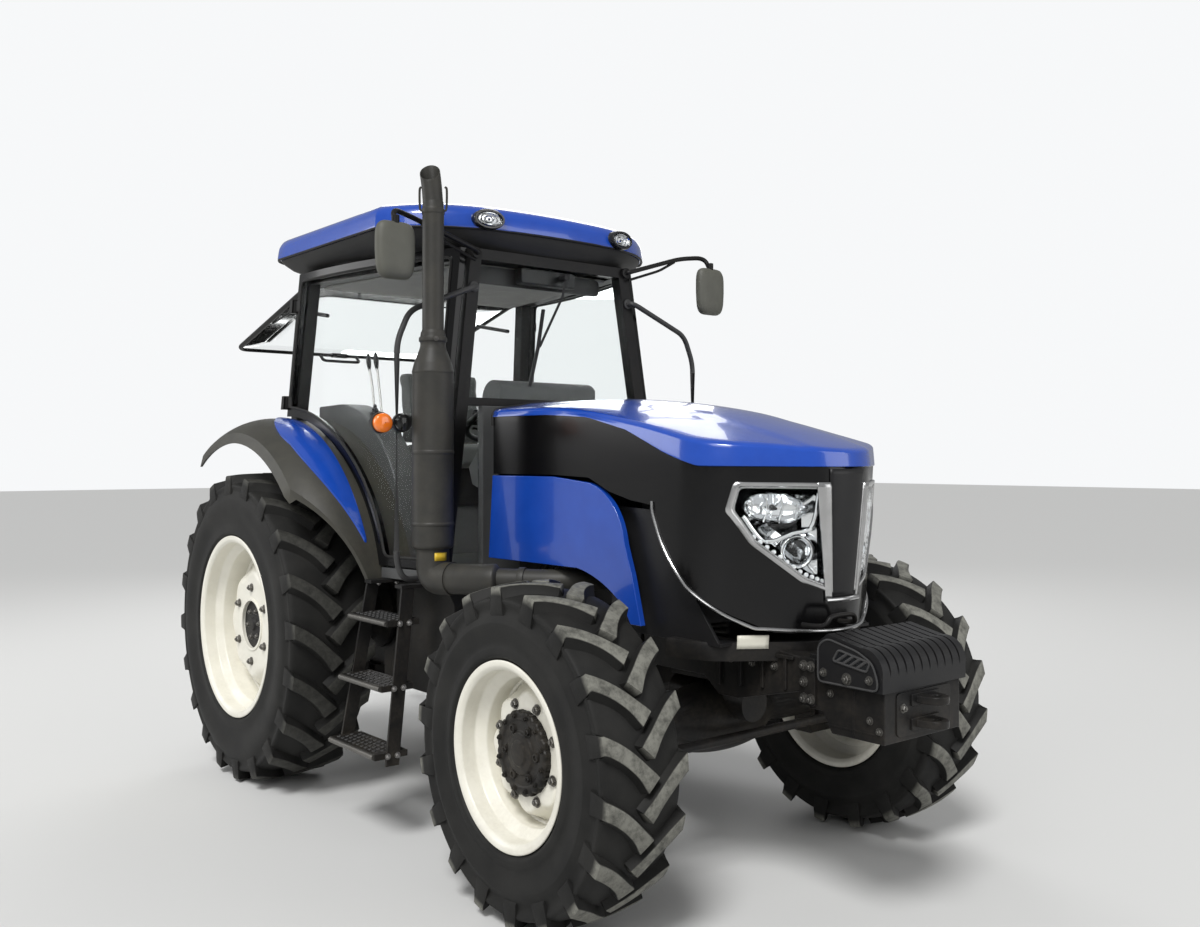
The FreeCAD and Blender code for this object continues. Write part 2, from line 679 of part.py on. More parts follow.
def hood():
    # One formed shell, hinged at its rear edge: painted top, black nose and black side bands.
    shell = cut("hoodShell", hoodForm("hoodOuter", 0, 20), hoodForm("hoodInner", value("hoodWall")))
    # the painted top's lower edge, from the rear forwards; the black band lies below it
    line = [("hoodRearX - 50", 1806), ("hoodRearX + 400", 1802), (2180, 1785), (2420, 1730),
            (2640, 1640), (2790, "hoodBandZ + 4"), ("hoodNoseX + 60", "hoodBandZ")]
    above = [("hoodNoseX + 60", 2000), ("hoodRearX - 50", 2000)]
    keep("hood_top", common("hoodTop", shell, region("paintedRegion", "XZ", line + above, 1200)))
    below = [(x, "%s - seatGap" % z) for x, z in reversed(line)]
    lower = [
        ("hoodRearX - 50", 1556), (1950, 1556), (2180, 1548), (2310, 1496), (2440, 1466),
        (2560, 1452), (2640, 1290), (2770, 1150), (2960, 1010), ("hoodNoseX + 60", 985)]
    nose = common("hoodNose", shell, region("blackRegion", "XZ", lower + below, 1200))
    lampCut = [(2905, 1530), (3120, 1525), (3120, 1150), (3030, 1190), (2930, 1330), (2885, 1440)]
    lamps = region("lampRegion", "XZ", lampCut, 1200)
    strip = [(-98, 1600), (98, 1600), (62, 1100), (-62, 1100)]
    middle = region("stripRegion", "YZ", strip, 1000, "hoodNoseX")
    window = cut("lampWindow", lamps, middle)
    keep("hood_nose", cut("hoodNoseOpen", nose, window))
    lens = common("lampLens", common("lampSkin", shell, lamps), window)
    keep("headlights", lens)


def sidePanels():
    # Fixed painted panel below the hood's side band, with a tongue behind the front wheel.
    panel = newBody("sidePanel")
    corners = [
        (1470, 1187), ("hoodRearX", "panelTop"), (1950, "panelTop"), (2180, 1528), (2330, 1450, "arc"),
        (2405, 1300), (2450, 1180), (2500, 1000), (2440, 1000), (2400, 1060), (2290, 1130, "arc"),
        (2110, 1187)]
    pad(panel, outline(newSketch(panel, "XZ", "hoodHalfWidth - panelWall"), corners), "panelWall",
        "One side")
    bothSides("side_panels", panel)
    # bulkhead across the hood's rear edge, on the engine, with the hood's hinge ear on top
    def slab(name, low, width):
        # the bulkhead plate's thickness, from low up through the hood's top
        near, far = "hoodRearX + 6", "hoodRearX + 18"
        return region(name, "XZ", [(near, low), (far, low), (far, 1950), (near, 1950)], width)

    plate = common("bulkheadPlate", hoodForm("bulkheadForm", value("hoodWall + 5")),
                   slab("bulkheadSlab", 1190, "2 * (hoodHalfWidth - panelWall - seatGap)"))
    opening = region("bulkheadOpening", "XZ", [
        (1490, 1100), (1540, 1100), (1540, "engineTop + seatGap"), (1490, "engineTop + seatGap")], 480)
    ear = common("hingeEar", hoodForm("hingeEarForm", value("hoodWall + seatGap")),
                 slab("hingeEarSlab", 1700, 90))
    keep("bulkhead", fuse("bulkheadAll", [cut("bulkheadOpen", plate, opening), ear]))


def radiator():
    # Radiator core on the front frame, with the engine's front apron that carries the side mesh.
    core = newBody("radiatorCore")
    pad(core, rectangle(newSketch(core, "XZ"), 2330, "frameTop + seatGap", 2450, 1600), 640)
    keep("radiator", core)
    mesh = newBody("sideMesh")
    corners = [(2260, "frameTop + seatGap"), (2260, 1440), (2520, 1430), (2740, 1110),
               (2860, "frameTop + seatGap")]
    pad(mesh, outline(newSketch(mesh, "XZ", "frameHalfWidth + 185"), corners), 12, "One side")
    foot = rectangle(newSketch(mesh, "XY", "frameTop + seatGap"), 2260, "-frameHalfWidth - 197", 2860, -320.5)
    pad(mesh, foot, 12, "One side")
    bothSides("side_mesh", mesh)


# ---- front weights ----

def weights():
    # Carrier box bolted to the front frame, with a clevis in front.
    carrier = newBody("weightCarrier")
    side = [
        ("weightRearX - 39.5", 760), ("weightRearX - 39.5", 950), ("weightRearX + 20", 950),
        ("weightRearX + 20", 860), ("weightFrontX - 10", 860),
        ("weightFrontX - 10", 690), ("weightRearX + 60", 690), ("weightRearX + 20", 760)]
    pad(carrier, outline(newSketch(carrier, "XZ"), side), 420)
    for z in (742, 822):
        ear = newSketch(carrier, "XY", z)
        outline(ear, [("weightFrontX - 30", -60), ("weightFrontX + 50", -42), ("weightFrontX + 84", 0, "arc"),
                      ("weightFrontX + 50", 42), ("weightFrontX - 30", 60)])
        pad(carrier, ear, 26)
    hole = newSketch(carrier, "XY", 700)
    circle(hole, "weightFrontX + 44", 0, 16)
    pocket(carrier, hole, 200, "One side", True)
    keep("weight_carrier", carrier)
    # one weight, repeated: a hook over the carrier and a rib that stands proud
    half = "(weightCount - 1) / 2 * weightPitch"
    body = newBody("frontWeights")
    profile = [
        ("weightRearX + 20.5", 860.4), ("weightRearX + 20.5", 1000), ("weightRearX + 60", 1030),
        ("weightFrontX - 90", 1000), ("weightFrontX - 20", 975, "arc"), ("weightFrontX", 910),
        ("weightFrontX", 860.4)]
    core = [(corner[0], "%s - 14" % corner[1] if corner[1] > 950 else corner[1]) + corner[2:]
            for corner in profile]
    pad(body, outline(newSketch(body, "XZ"), core), "2 * %s" % half)
    rib = newSketch(body, "XZ", "-(%s) - (weightPitch - weightGap) / 2" % half)
    pad(body, outline(rib, profile), "weightPitch - weightGap", "One side")
    pattern = body.newObject("PartDesign::LinearPattern", "weightRow")
    pattern.Originals = [body.Tip]
    pattern.Direction = ([item for item in body.Origin.OriginFeatures if item.Role == "Y_Axis"][0], [""])
    pattern.Reversed = True
    pattern.Length = value("(weightCount - 1) * weightPitch")
    pattern.setExpression("Occurrences", "dims.weightCount")
    body.Tip = pattern
    keep("front_weights", body)


# ---- cab ----

def pillar(name, stations):
    # Straight between stations (z, x, y, length along X, width along Y).
    body = newBody(name)
    sketches = []
    for z, x, y, length, width in stations:
        sketch = newSketch(body, "XY", z)
        x0, y0 = "%s - %g" % (x, length / 2), "%s - %g" % (y, width / 2)
        x1, y1 = "%s + %g" % (x, length / 2), "%s + %g" % (y, width / 2)
        sketches.append(rectangle(sketch, x0, y0, x1, y1))
    loft(body, sketches)
    return body


def cabFrame():
    frontPost = pillar("frontPost", [
        ("floorTop", "cabFrontX", "-(doorRearY - 168)", 60, 60),
        ("sillZ", "cabFrontX - 20", "-(doorRearY - 271)", 60, 60),
        ("roofRailZ - 50", "cabFrontX - 50", "-(doorRearY - 357)", 60, 60)])
    rearPost = pillar("rearPost", [
        ("rearTyreRadius + fenderRadius + 0.5", "cabRearX + 22", "-(doorRearY - 94)", 70, 60),
        ("roofRailZ - 50", "cabRearX + 110", "-(doorRearY - 126)", 70, 60)])
    ring = newBody("roofRing")
    sketch = newSketch(ring, "XY", "roofRailZ - 50")
    outline(sketch, [("cabRearX + 65", -690), ("cabRearX + 150", -690), ("cabFrontX - 20", -462),
                     ("cabFrontX - 20", 462), ("cabRearX + 150", 690), ("cabRearX + 65", 690)])
    outline(sketch, [("cabRearX + 150", -600), ("cabFrontX - 80", -400), ("cabFrontX - 80", 400),
                     ("cabRearX + 150", 600)])
    pad(ring, sketch, 50, "One side")
    bar = newBody("sillBar")
    pad(bar, rectangle(newSketch(bar, "XZ"), "cabFrontX - 50", "sillZ - 25", "cabFrontX + 10", "sillZ + 12"),
        1040)
    posts = [frontPost, rearPost]
    # two brackets behind each door's rear edge carry its hinge pins
    for n, z in enumerate((1880, 2380)):
        stations = []
        for height in (z, z + 70):
            stations.append((height, "cabRearX + 0.5 + 0.11 * (%g - sillZ)" % height,
                             "-(doorRearY - 39 - 0.042 * (%g - sillZ))" % height, 30, 62))
        posts.append(pillar("hingeBracket%d" % n, stations))
    copies = [mirrored(post.Name + "Left", post) for post in posts]
    keep("cab_frame", fuse("cabFrameAll", posts + copies + [ring, bar]))


def cabFloor():
    # Floor, riser, deck under the seat, rear wall and firewall, bent from plate.
    body = newBody("cabFloor")
    steps = [
        ("cabFrontX + 30", "floorTop"), (620, "floorTop"), (620, "deckTop"), ("cabRearX", "deckTop"),
        ("cabRearX", "rearSillZ"), ("cabRearX - 30", "rearSillZ"),
        ("cabRearX - 30", "deckTop - floorPlate"), (570, "deckTop - floorPlate"),
        (570, "floorTop - floorPlate"), ("cabFrontX + 30", "floorTop - floorPlate")]
    pad(body, outline(newSketch(body, "XZ"), steps), "2 * (fenderInnerY - 1)")
    wing = newSketch(body, "XY", "floorTop - floorPlate")
    behind = "sqrt(fenderRadius ^ 2 - (floorTop - floorPlate - rearTyreRadius) ^ 2) + 4"
    outline(wing, [(behind, -750), ("cabFrontX + 30", -690), ("cabFrontX + 30", 690), (behind, 750)])
    pad(body, wing, "floorPlate", "One side")
    wall = rectangle(newSketch(body, "YZ", "cabFrontX - 10"), "-430", "floorTop - floorPlate", "430",
                     "sillZ - 25 - seatGap")
    pad(body, wall, 40, "One side")
    keep("cab_floor", body)
    # rubber mounts: discs on the gearbox in front, and posts on the axle housings behind
    front = newBody("frontMount")
    disc = newSketch(front, "XY", "gearboxTop + seatGap")
    circle(disc, 1240, -170, 50)
    pad(front, disc, "floorTop - floorPlate - gearboxTop - 2 * seatGap", "One side")
    rear = newBody("rearMount")
    column = newSketch(rear, "XY", "rearTyreRadius + axleHousing")
    rectangle(column, -55, -370, 55, -290)
    pad(rear, column, "deckTop - floorPlate - seatGap - rearTyreRadius - axleHousing", "One side")
    mounts = [front, rear]
    copies = [mirrored(item.Name + "Left", item) for item in mounts]
    keep("cab_mounts", group("cabMountsAll", mounts + copies))


def sideConsoles():
    # Moulded covers beside the seat, over the fender's shoulder.
    body = newBody("sideConsole")
    over = [
        ("cabRearX + seatGap", "rearTyreRadius + fenderRadius + 13"), ("cabRearX + seatGap", 1900),
        (240, 1905), (560, 1800, "arc"), (860, 1420), (930, "floorTop + seatGap"),
        (621, "floorTop + seatGap"), (621, "deckTop + seatGap"),
        ("cabRearX + seatGap", "deckTop + seatGap")]
    pad(body, outline(newSketch(body, "XZ", 440), over), "fenderInnerY - 1 - 440", "One side")
    bothSides("side_consoles", body)


def windshield():
    # Upper pane between the front pillars and two narrow panes beside the hood.
    pane = newBody("windshieldPane")
    low = newSketch(pane, "XY", "sillZ + 12 + seatGap")
    rectangle(low, "cabFrontX - 12", -488, "cabFrontX - 12 + glassWall", 488)
    high = newSketch(pane, "XY", "roofRailZ - 50 - seatGap")
    rectangle(high, "cabFrontX - 42", -403, "cabFrontX - 42 + glassWall", 403)
    loft(pane, [low, high])
    small = newBody("lowerPane")
    foot = newSketch(small, "XY", "floorTop + seatGap")
    rectangle(foot, "cabFrontX", -592, "cabFrontX + glassWall", -432)
    top = newSketch(small, "XY", "sillZ - 25 - seatGap")
    rectangle(top, "cabFrontX - 12", -490, "cabFrontX - 12 + glassWall", -432)
    loft(small, [foot, top])
    keep("windshield", group("windshieldPanes", [pane, small, mirrored("lowerPaneLeft", small)]))


def rearWindow():
    # Hinged at the roof and propped open on its stays.
    frame = bentTube("rearFrame", [
        ("cabRearX + 64.5", -640, "rearHingeZ"), ("cabRearX + 20", -640, "rearHingeZ"),
        ("rearEdgeX", -640, "rearEdgeZ"), ("rearEdgeX", 640, "rearEdgeZ"),
        ("cabRearX + 20", 640, "rearHingeZ"), ("cabRearX + 64.5", 640, "rearHingeZ")], 14, 60)
    frame.Label = "rearWindowTube"
    pane = newBody("rearPane")
    corners = [("cabRearX + 20", "rearHingeZ - 6"), ("cabRearX + 20", "rearHingeZ"),
               ("rearEdgeX + 10", "rearEdgeZ + 6"), ("rearEdgeX + 10", "rearEdgeZ")]
    pad(pane, outline(newSketch(pane, "XZ"), corners), 1270)
    keep("rear_window", fuse("rearWindowAll", [frame, pane]))


def sideSkin(name, inner, wall):
    # The cab's curved side, from its floor to the roof: a shell wall thick whose outer face lies
    # inner inside the door's face.
    body = newBody(name)
    sketches = []
    levels = (("floorTop - 20", 0, -8, 104, 30), ("roofRailZ + 4", 62, 116, 300, -24))
    for z, rear, middle, front, frontX in levels:
        sketch = newSketch(body, "XY", z)
        faceRear = "-(doorRearY - %g - %g)" % (rear, inner)
        faceMiddle = "-(doorRearY - %g - %g)" % (middle, inner)
        faceFront = "-(doorRearY - %g - %g)" % (front, inner)
        outside = [("cabRearX - 20", faceRear), ("cabFrontX / 2", faceMiddle, "arc"),
                   ("cabFrontX + %g" % frontX, faceFront)]
        inside = [(corner[0], "%s + %s" % (corner[1], wall)) + corner[2:] for corner in reversed(outside)]
        sketches.append(outline(sketch, outside + inside))
    loft(body, sketches)
    return body


def doorOutline(inset):
    # The fender's arc, the bottom, and the leaning front and rear edges, drawn inset.
    reach = "(fenderRadius + coverPlate + doorGap + 5 + %g)" % inset
    top = "roofRailZ - %g" % inset
    rear = "cabRearX + 16 + %g" % inset
    low = "floorTop + 8 + %g" % inset
    return [
        (rear, "rearTyreRadius + sqrt(%s ^ 2 - (%s) ^ 2)" % (reach, rear)),
        (reach + " * sin(45 deg)", "rearTyreRadius + %s * cos(45 deg)" % reach, "arc"),
        ("sqrt(%s ^ 2 - (%s - rearTyreRadius) ^ 2)" % (reach, low), low),
        ("cabFrontX + 6 - %g" % inset, low),
        ("cabFrontX - 14 - %g" % inset, "sillZ"), ("cabFrontX - 44 - %g" % inset, top),
        ("cabRearX + 98 + %g" % inset, top)]


def door():
    # Glazed door over the cab's whole side, with its frame round the pane.
    skin = sideSkin("doorSkin", 0, "doorWall")
    whole = common("doorWhole", skin, region("doorRegion", "XZ", doorOutline(0), 3000))
    window = region("windowRegion", "XZ", doorOutline(42), 3000)
    hole = cut("doorRing", whole, window)
    half = region("rightHalf", "XY", [(-500, -1500), (2000, -1500), (2000, 0), (-500, 0)], 8000)
    right = common("doorRight", hole, half)
    keepPair("door", right)
    glassSkin = sideSkin("glassSkin", 12, "glassWall")
    pane = common("doorPane", glassSkin, region("paneRegion", "XZ", doorOutline(42), 3000))
    keepPair("door_glass", common("doorPaneRight", pane, half))


def roofPlan(sketch, inset, lead=0):
    # Seen from above: a bowed front, and an arc at each corner. The front may be inset by less.
    front = "roofFrontX - %g" % (inset - lead)
    rear = "cabRearX - 170 + %g" % inset
    side = "-(roofHalfWidth - %g)" % inset
    right = [
        (front, "-(350 - %g)" % (inset * 0.4)),
        ("roofFrontX - 130 - %g" % ((inset - lead) * 0.7), "-(635 - %g)" % (inset * 0.8), "arc"),
        ("roofFrontX - 310 - %g" % (inset * 0.6), side),
        ("cabRearX - 30 + %g" % (inset * 0.6), side),
        ("cabRearX - 125 + %g" % (inset * 0.85), "%s + 50" % side, "arc"),
        (rear, "%s + 190" % side)]
    return outline(sketch, right + flipped(right, 1) + [("%s + 22" % front, 0, "arc")])


def roof():
    # Painted cap: a band round the eaves under a crowned top; and the black tray below it.
    cap = newBody("roofCap")
    levels = ((90, 0), (158, 9), (184, 26), (205, 66), (219, 120), (228, 200), (232, 300))
    loft(cap, [roofPlan(newSketch(cap, "XY", "roofRailZ + %g" % z), inset) for z, inset in levels])
    hollow = newSketch(cap, "XY", "roofRailZ + 90")
    pocket(cap, roofPlan(hollow, 24), 56, "One side", True)
    lampPocket = region("lampPocket", "XZ", [
        ("roofFrontX - 60", "roofRailZ + roofLampZ - 40"), ("roofFrontX + 120", "roofRailZ + roofLampZ - 40"),
        ("roofFrontX + 120", "roofRailZ + roofLampZ + 40"),
        ("roofFrontX - 60", "roofRailZ + roofLampZ + 40")], 150, "roofLampY")
    pockets = group("lampPockets", [lampPocket, mirrored("lampPocketLeft", lampPocket)])
    tray = newBody("roofTray")
    loft(tray, [roofPlan(newSketch(tray, "XY", "roofRailZ + %g" % z), inset, lead)
                for z, inset, lead in ((0.5, 150, 90), (40, 60, 30), (89.5, 10, 0))])
    keep("roof_cap", cut("roofCapOpen", cap, pockets))
    keep("roof_tray", cut("roofTrayOpen", tray, pockets))


# ---- fenders and steps ----

def fenders():
    # Pressed fender: inner wall and a crown that falls away outwards, seen end on in this section.
    base = newBody("fenderBase", "rearAxleX", 0, "rearTyreRadius")
    section = [
        ("-fenderInnerY", 640), ("-fenderInnerY", "fenderRadius"), ("-790", "fenderRadius"),
        ("-940", "fenderRadius - 14", "arc"), ("-(fenderOuterY - 14)", "fenderRadius - 74"),
        ("-fenderOuterY", "fenderRadius - 126"), ("-(fenderOuterY - fenderPlate)", "fenderRadius - 126"),
        ("-(fenderOuterY - 28)", "fenderRadius - 84"), ("-936", "fenderRadius - 14 - fenderPlate", "arc"),
        ("-788", "fenderRadius - fenderPlate"),
        ("-fenderInnerY - fenderPlate", "fenderRadius - fenderPlate"), ("-fenderInnerY - fenderPlate", 640)]
    revolve(base, outline(newSketch(base, "YZ"), section))
    arcBlock = region("fenderArc", "XZ", [
        ("-460", 1560), ("-460", 1900), ("1200", 1900), ("1200", 1060), ("985", 1060), ("600", 1330),
        ("200", 1430), ("-200", 1430)], 3000)
    full = common("fenderFull", base, arcBlock)
    keepShape = region("fenderPlan", "XY", [
        (-500, -1100), (420, -1100), (760, -1000, "arc"), (1010, -815), (1010, -500), (-500, -500)], 6000)
    whole = common("fenderTrimmed", full, keepShape)
    bothSides("fenders", whole)
    cover = newBody("fenderCover", "rearAxleX", 0, "rearTyreRadius")
    strip = [
        ("-790", "fenderRadius + 0.4"), ("-790", "fenderRadius + coverPlate"),
        ("-940", "fenderRadius - 14 + coverPlate", "arc"),
        ("-(fenderOuterY - 16)", "fenderRadius - 70 + coverPlate"),
        ("-(fenderOuterY - 14)", "fenderRadius - 73.6"), ("-940", "fenderRadius - 13.6", "arc")]
    revolve(cover, outline(newSketch(cover, "YZ"), strip))
    crescent = region("coverPlan", "XY", [
        (20, -780), (250, -935, "arc"), (480, -955), (760, -905, "arc"), (945, -800),
        (945, -760), (20, -760)], 6000)
    upper = region("coverUpper", "XZ", [(0, 1200), (1200, 1200), (1200, 1950), (0, 1950)], 3000)
    painted = common("coverTrimmed", common("coverArc", cover, upper), crescent)
    bothSides("fender_covers", painted)


def steps():
    # Three treads between two leaning side bars, hung from the cab floor below each door.
    rear = pillar("ladderRearBar", [(345, 1015, -925, 14, 60), (1079, 1032, -800, 14, 60)])
    front = pillar("ladderFrontBar", [(345, 1440, -925, 14, 60), (1079, 1348, -800, 14, 60)])
    treads = newBody("ladderTreads")
    for z, y, x in ((910, -829, 1372), (645, -874, 1405), (375, -920, 1438)):
        board = rectangle(newSketch(treads, "XY", z), 1016, y - 80, x, y + 70)
        pad(treads, board, 26, "One side")
    for x in (1016, 1296):
        plate = rectangle(newSketch(treads, "XY", 1065), x, -835, x + 62, -640)
        pad(treads, plate, 14.5, "One side")
    bothSides("steps", fuse("ladderSide", [rear, front, treads]))


# ---- exhaust, mirrors and rails ----

def exhaust():
    # Pipe from the engine's side into the wide elbow; the stack out of it, in its heat shield;
    # and the outlet, which leans outwards.
    pipe = bentTube("exhaustPipe", [
        (2000, "-engineHalfWidth - 0.5", 1122), (2000, -400, 1122), (1700, -640, 1122),
        (1540, -708.5, 1116)], "stackRadius", 130)
    elbow = bentTube("exhaustElbow", [
        (1580, -691.5, 1117), ("stackX", "-stackY", 1112), ("stackX", "-stackY", 1250)],
        "sleeveRadius", 110)
    outlet = bentTube("exhaustOutlet", [
        ("stackX", "-stackY", "stackTop - 230"), ("stackX", "-stackY", "stackTop - 85"),
        ("stackX", "-stackY - 40", "stackTop - 22")], "stackRadius - 8", 70)
    stack = newBody("exhaustShield", "rearAxleX + stackX", "-stackY", 0)
    section = [
        (0, 1210), ("shieldRadius - 14", 1210), ("shieldRadius", 1230), ("shieldRadius", 2000),
        ("stackRadius + 8", 2090), ("stackRadius + 8", 2140), ("stackRadius", 2140),
        ("stackRadius", "stackTop - 190"), (0, "stackTop - 190")]
    revolve(stack, outline(newSketch(stack, "XZ"), section), axis="V_Axis")
    keep("exhaust_stack", fuse("exhaustAll", [pipe, elbow, outlet, stack]))


def mirrorsAndRails():
    arm = bentTube("mirrorArm", [
        ("cabFrontX - 19.6", -440, 2555), ("cabFrontX + 20", -440, 2555), (1352, -780, 2662),
        (1405, -908, 2675), (1442, -913, 2600)], 12, 60)
    head = newBody("mirrorHead", "rearAxleX + 1448", -913, 2493)
    pad(head, rectangle(newSketch(head, "YZ", -22), -90, -122, 90, 122), 46, "One side")
    roundEdges(head, 34, along(Vector(1, 0, 0)))
    bothSides("mirrors", fuse("mirrorSide", [arm, head]))
    rail = bentTube("handrail", [
        (1318.2, -452, 2400), ("railX", -455, 2400), ("railX", "-railY + 60", 2260),
        ("railX", "-railY", 2120), ("railX", "-railY", 1180), ("railX", "-railY + 32", 1105),
        (1340, -745, 1105), (1340, -696.2, 1105)], "railRadius", 60)
    bothSides("handrails", rail)
    lamp = newBody("turnLamp", "rearAxleX + railX + 26", "-railY - 98", 1772)
    drum = newSketch(lamp, "YZ", -28)
    circle(drum, 0, 0, 46)
    pad(lamp, drum, 56, "One side")
    stem = newSketch(lamp, "XZ", -40)
    circle(stem, -26, 0, 9)
    pad(lamp, stem, "98 - 40 - railRadius - seatGap", "One side", True)
    work = newBody("workLamp", "rearAxleX + roofFrontX - 59.5", "-roofLampY", "roofRailZ + roofLampZ")
    face = newSketch(work, "YZ")
    outline(face, [(-66, 0), (0, 36, "arc"), (66, 0), (0, -36, "arc")])
    pad(work, face, 60, "One side")
    copies = [mirrored("turnLampLeft", lamp), mirrored("workLampLeft", work)]
    keep("lamps", group("allLamps", [lamp, work] + copies))


# ---- driver's place ----

def driverPlace():
    riser = newBody("seatBase")
    pad(riser, rectangle(newSketch(riser, "XZ"), 260, "deckTop + seatGap", 640, "deckTop + 200"), 400)
    keep("seat_base", riser)
    cushion = newBody("seatCushion")
    pad(cushion, rectangle(newSketch(cushion, "XZ"), 230, "deckTop + 200.5", 700, "deckTop + 310"), 500)
    roundEdges(cushion, 30, along(Vector(0, 1, 0)))
    keep("seat_cushion", cushion)
    back = newBody("seatBack")
    corners = [(220, "deckTop + 310.5"), (350, "deckTop + 310.5"), (290, "deckTop + 720"),
               (180, "deckTop + 720")]
    pad(back, outline(newSketch(back, "XZ"), corners), 460)
    roundEdges(back, 30, along(Vector(0, 1, 0)))
    keep("seat_back", back)
    dash = newBody("dashboard")
    shape = [
        (1120, 1700), (1000, 1580), (1030, 1500), (1150, 1460), (1180, "floorTop + seatGap"),
        ("cabFrontX - 52", "floorTop + seatGap"), ("cabFrontX - 52", 1960), (1190, 1990, "arc"),
        (1120, 1880)]
    pad(dash, outline(newSketch(dash, "XZ"), shape), 560)
    column = newBody("steeringColumn", "rearAxleX + wheelX", 0, "wheelZ")
    tube = newSketch(column, "XY", -300)
    circle(tube, 0, 0, 36)
    pad(column, tube, "300 - 30 - turningGap", "One side")
    column.Placement.Rotation = FreeCAD.Rotation(Vector(0, 1, 0), -28)
    keep("dashboard", fuse("dashboardAll", [dash, column]))
    wheel = newBody("steeringWheel", "rearAxleX + wheelX", 0, "wheelZ")
    ring = newSketch(wheel, "YZ")
    circle(ring, 190, 0, 15)
    revolve(wheel, ring, axis="V_Axis")
    spoke = newSketch(wheel, "XY", -12)
    outline(spoke, [(-18, -185), (18, -185), (18, 185), (-18, 185)])
    pad(wheel, spoke, 18, "One side")
    hub = newSketch(wheel, "XY", -30)
    circle(hub, 0, 0, 45)
    pad(wheel, hub, 45, "One side")
    wheel.Placement.Rotation = FreeCAD.Rotation(Vector(0, 1, 0), -28)
    keep("steering_wheel", wheel)
    levers = newBody("levers")
    for x, foot in ((480, 1846.9), (560, 1805.3)):
        rod = newSketch(levers, "XZ", 500)
        outline(rod, [(x - 8, foot), (x + 2, foot), (x - 50, 2080), (x - 60, 2080)])
        pad(levers, rod, 10, "One side")
        knob = newSketch(levers, "XZ", 490)
        outline(knob, [(x - 50, 2060), (x - 70, 2160), (x - 90, 2160), (x - 64, 2056)])
        pad(levers, knob, 30, "One side")
    keep("control_levers", levers)


# ---- rear linkage ----

def rearLinkage():
    # Lower links on the gearbox's bracket, lift arms on its sides, and the rods between them. The
    # rods stand beside arm and link, in planes of their own.
    link = newBody("lowerLink")
    flat = [("linkPivotX", -240), ("linkPinX + 20", -322), (-1020, -392), (-1020, -432),
            ("linkPinX - 32", "-rodY + 15.5"), ("linkPinX + 40", "-rodY + 15.5"), ("linkPivotX", -285)]
    pad(link, outline(newSketch(link, "XY", "linkPivotZ"), flat), 56)
    rear = newSketch(link, "XZ", 380)
    circle(rear, -1030, "linkPivotZ", 42)
    pad(link, rear, 64, "One side")
    front = newSketch(link, "XZ", "linkBracketY + turningGap")
    circle(front, "linkPivotX", "linkPivotZ", 40)
    pad(link, front, 50, "One side")
    hole = newSketch(link, "XZ", 300)
    circle(hole, -1030, "linkPivotZ", "pinRadius")
    pocket(link, hole, 200, "One side", True)
    bothSides("lower_links", link)
    arm = newBody("liftArm")
    hub = newSketch(arm, "XZ", "gearboxHalfWidth + turningGap")
    circle(hub, "armPivotX", "armPivotZ", 40)
    pad(arm, hub, "rodY - 15.5 - gearboxHalfWidth - turningGap", "One side")
    blade = newSketch(arm, "XZ", "rodY - 55.5")
    outline(blade, [("armPivotX", "armPivotZ + 40"), ("linkPinX", "armTipZ + 24"),
                    ("linkPinX - 24", "armTipZ", "arc"), ("linkPinX", "armTipZ - 24"),
                    ("armPivotX", "armPivotZ - 40")])
    pad(arm, blade, 40, "One side")
    bothSides("lift_arms", arm)
    rod = newBody("liftRod")
    for z in ("linkPivotZ", "armTipZ"):
        eye = newSketch(rod, "XZ", "rodY - 15")
        circle(eye, "linkPinX", z, 27)
        pad(rod, eye, 30, "One side")
    shaft = newSketch(rod, "XY", "linkPivotZ")
    circle(shaft, "linkPinX", "-rodY", 14)
    pad(rod, shaft, "armTipZ - linkPivotZ", "One side")
    bothSides("lift_rods", rod)
    # hitch plate with the lower links' pivots, drawbar and its carrier
    plate = newBody("hitchPlate")
    foot = [(-40, 479), (-40, 400), (-180, 400), (-180, 479)]
    pad(plate, outline(newSketch(plate, "XZ"), foot), "2 * linkBracketY")
    bar = newBody("drawbarBar")
    pad(bar, rectangle(newSketch(bar, "XZ"), -820, 340, -60, 376), 90)
    pad(bar, rectangle(newSketch(bar, "XZ"), -180, 376, -60, 400), 200)
    pinHole = newSketch(bar, "XY", 300)
    circle(pinHole, -770, 0, "drawbarHole")
    pocket(bar, pinHole, 200, "One side", True)
    keep("drawbar", fuse("drawbarAll", [plate, bar]))
    shaftBody = newBody("ptoShaft")
    spline = newSketch(shaftBody, "YZ", -400)
    circle(spline, 0, 640, "shaftRadius")
    pad(shaftBody, spline, 99.5, "One side")
    keep("pto_shaft", shaftBody)
    topBracket = newBody("topLinkBracket")
    ears = rectangle(newSketch(topBracket, "XZ"), -400, 900, -300.5, 970)
    pad(topBracket, ears, 90)
    pocket(topBracket, rectangle(newSketch(topBracket, "XZ"), -420, 880, -320, 990), 48)
    rodBar = newBody("topLinkBar")
    body = [(-395, 950), (-345, 950), (-98, 1460), (-62, 1500), (-80, 1520), (-140, 1470)]
    pad(rodBar, outline(newSketch(rodBar, "XZ"), body), 47.2)
    keep("top_link", group("topLinkAll", [topBracket, rodBar]))


rearWheel()
frontWheel()
knuckle()
tieRod()
frontAxle()
frontFrame()
engineBlock()
transmission()
rearAxle()
driveshaft()
sideTanks()
hood()
sidePanels()
radiator()
weights()
cabFrame()
cabFloor()
sideConsoles()
windshield()
rearWindow()
door()
roof()
fenders()
steps()
exhaust()
mirrorsAndRails()
driverPlace()
rearLinkage()
doc.recompute()

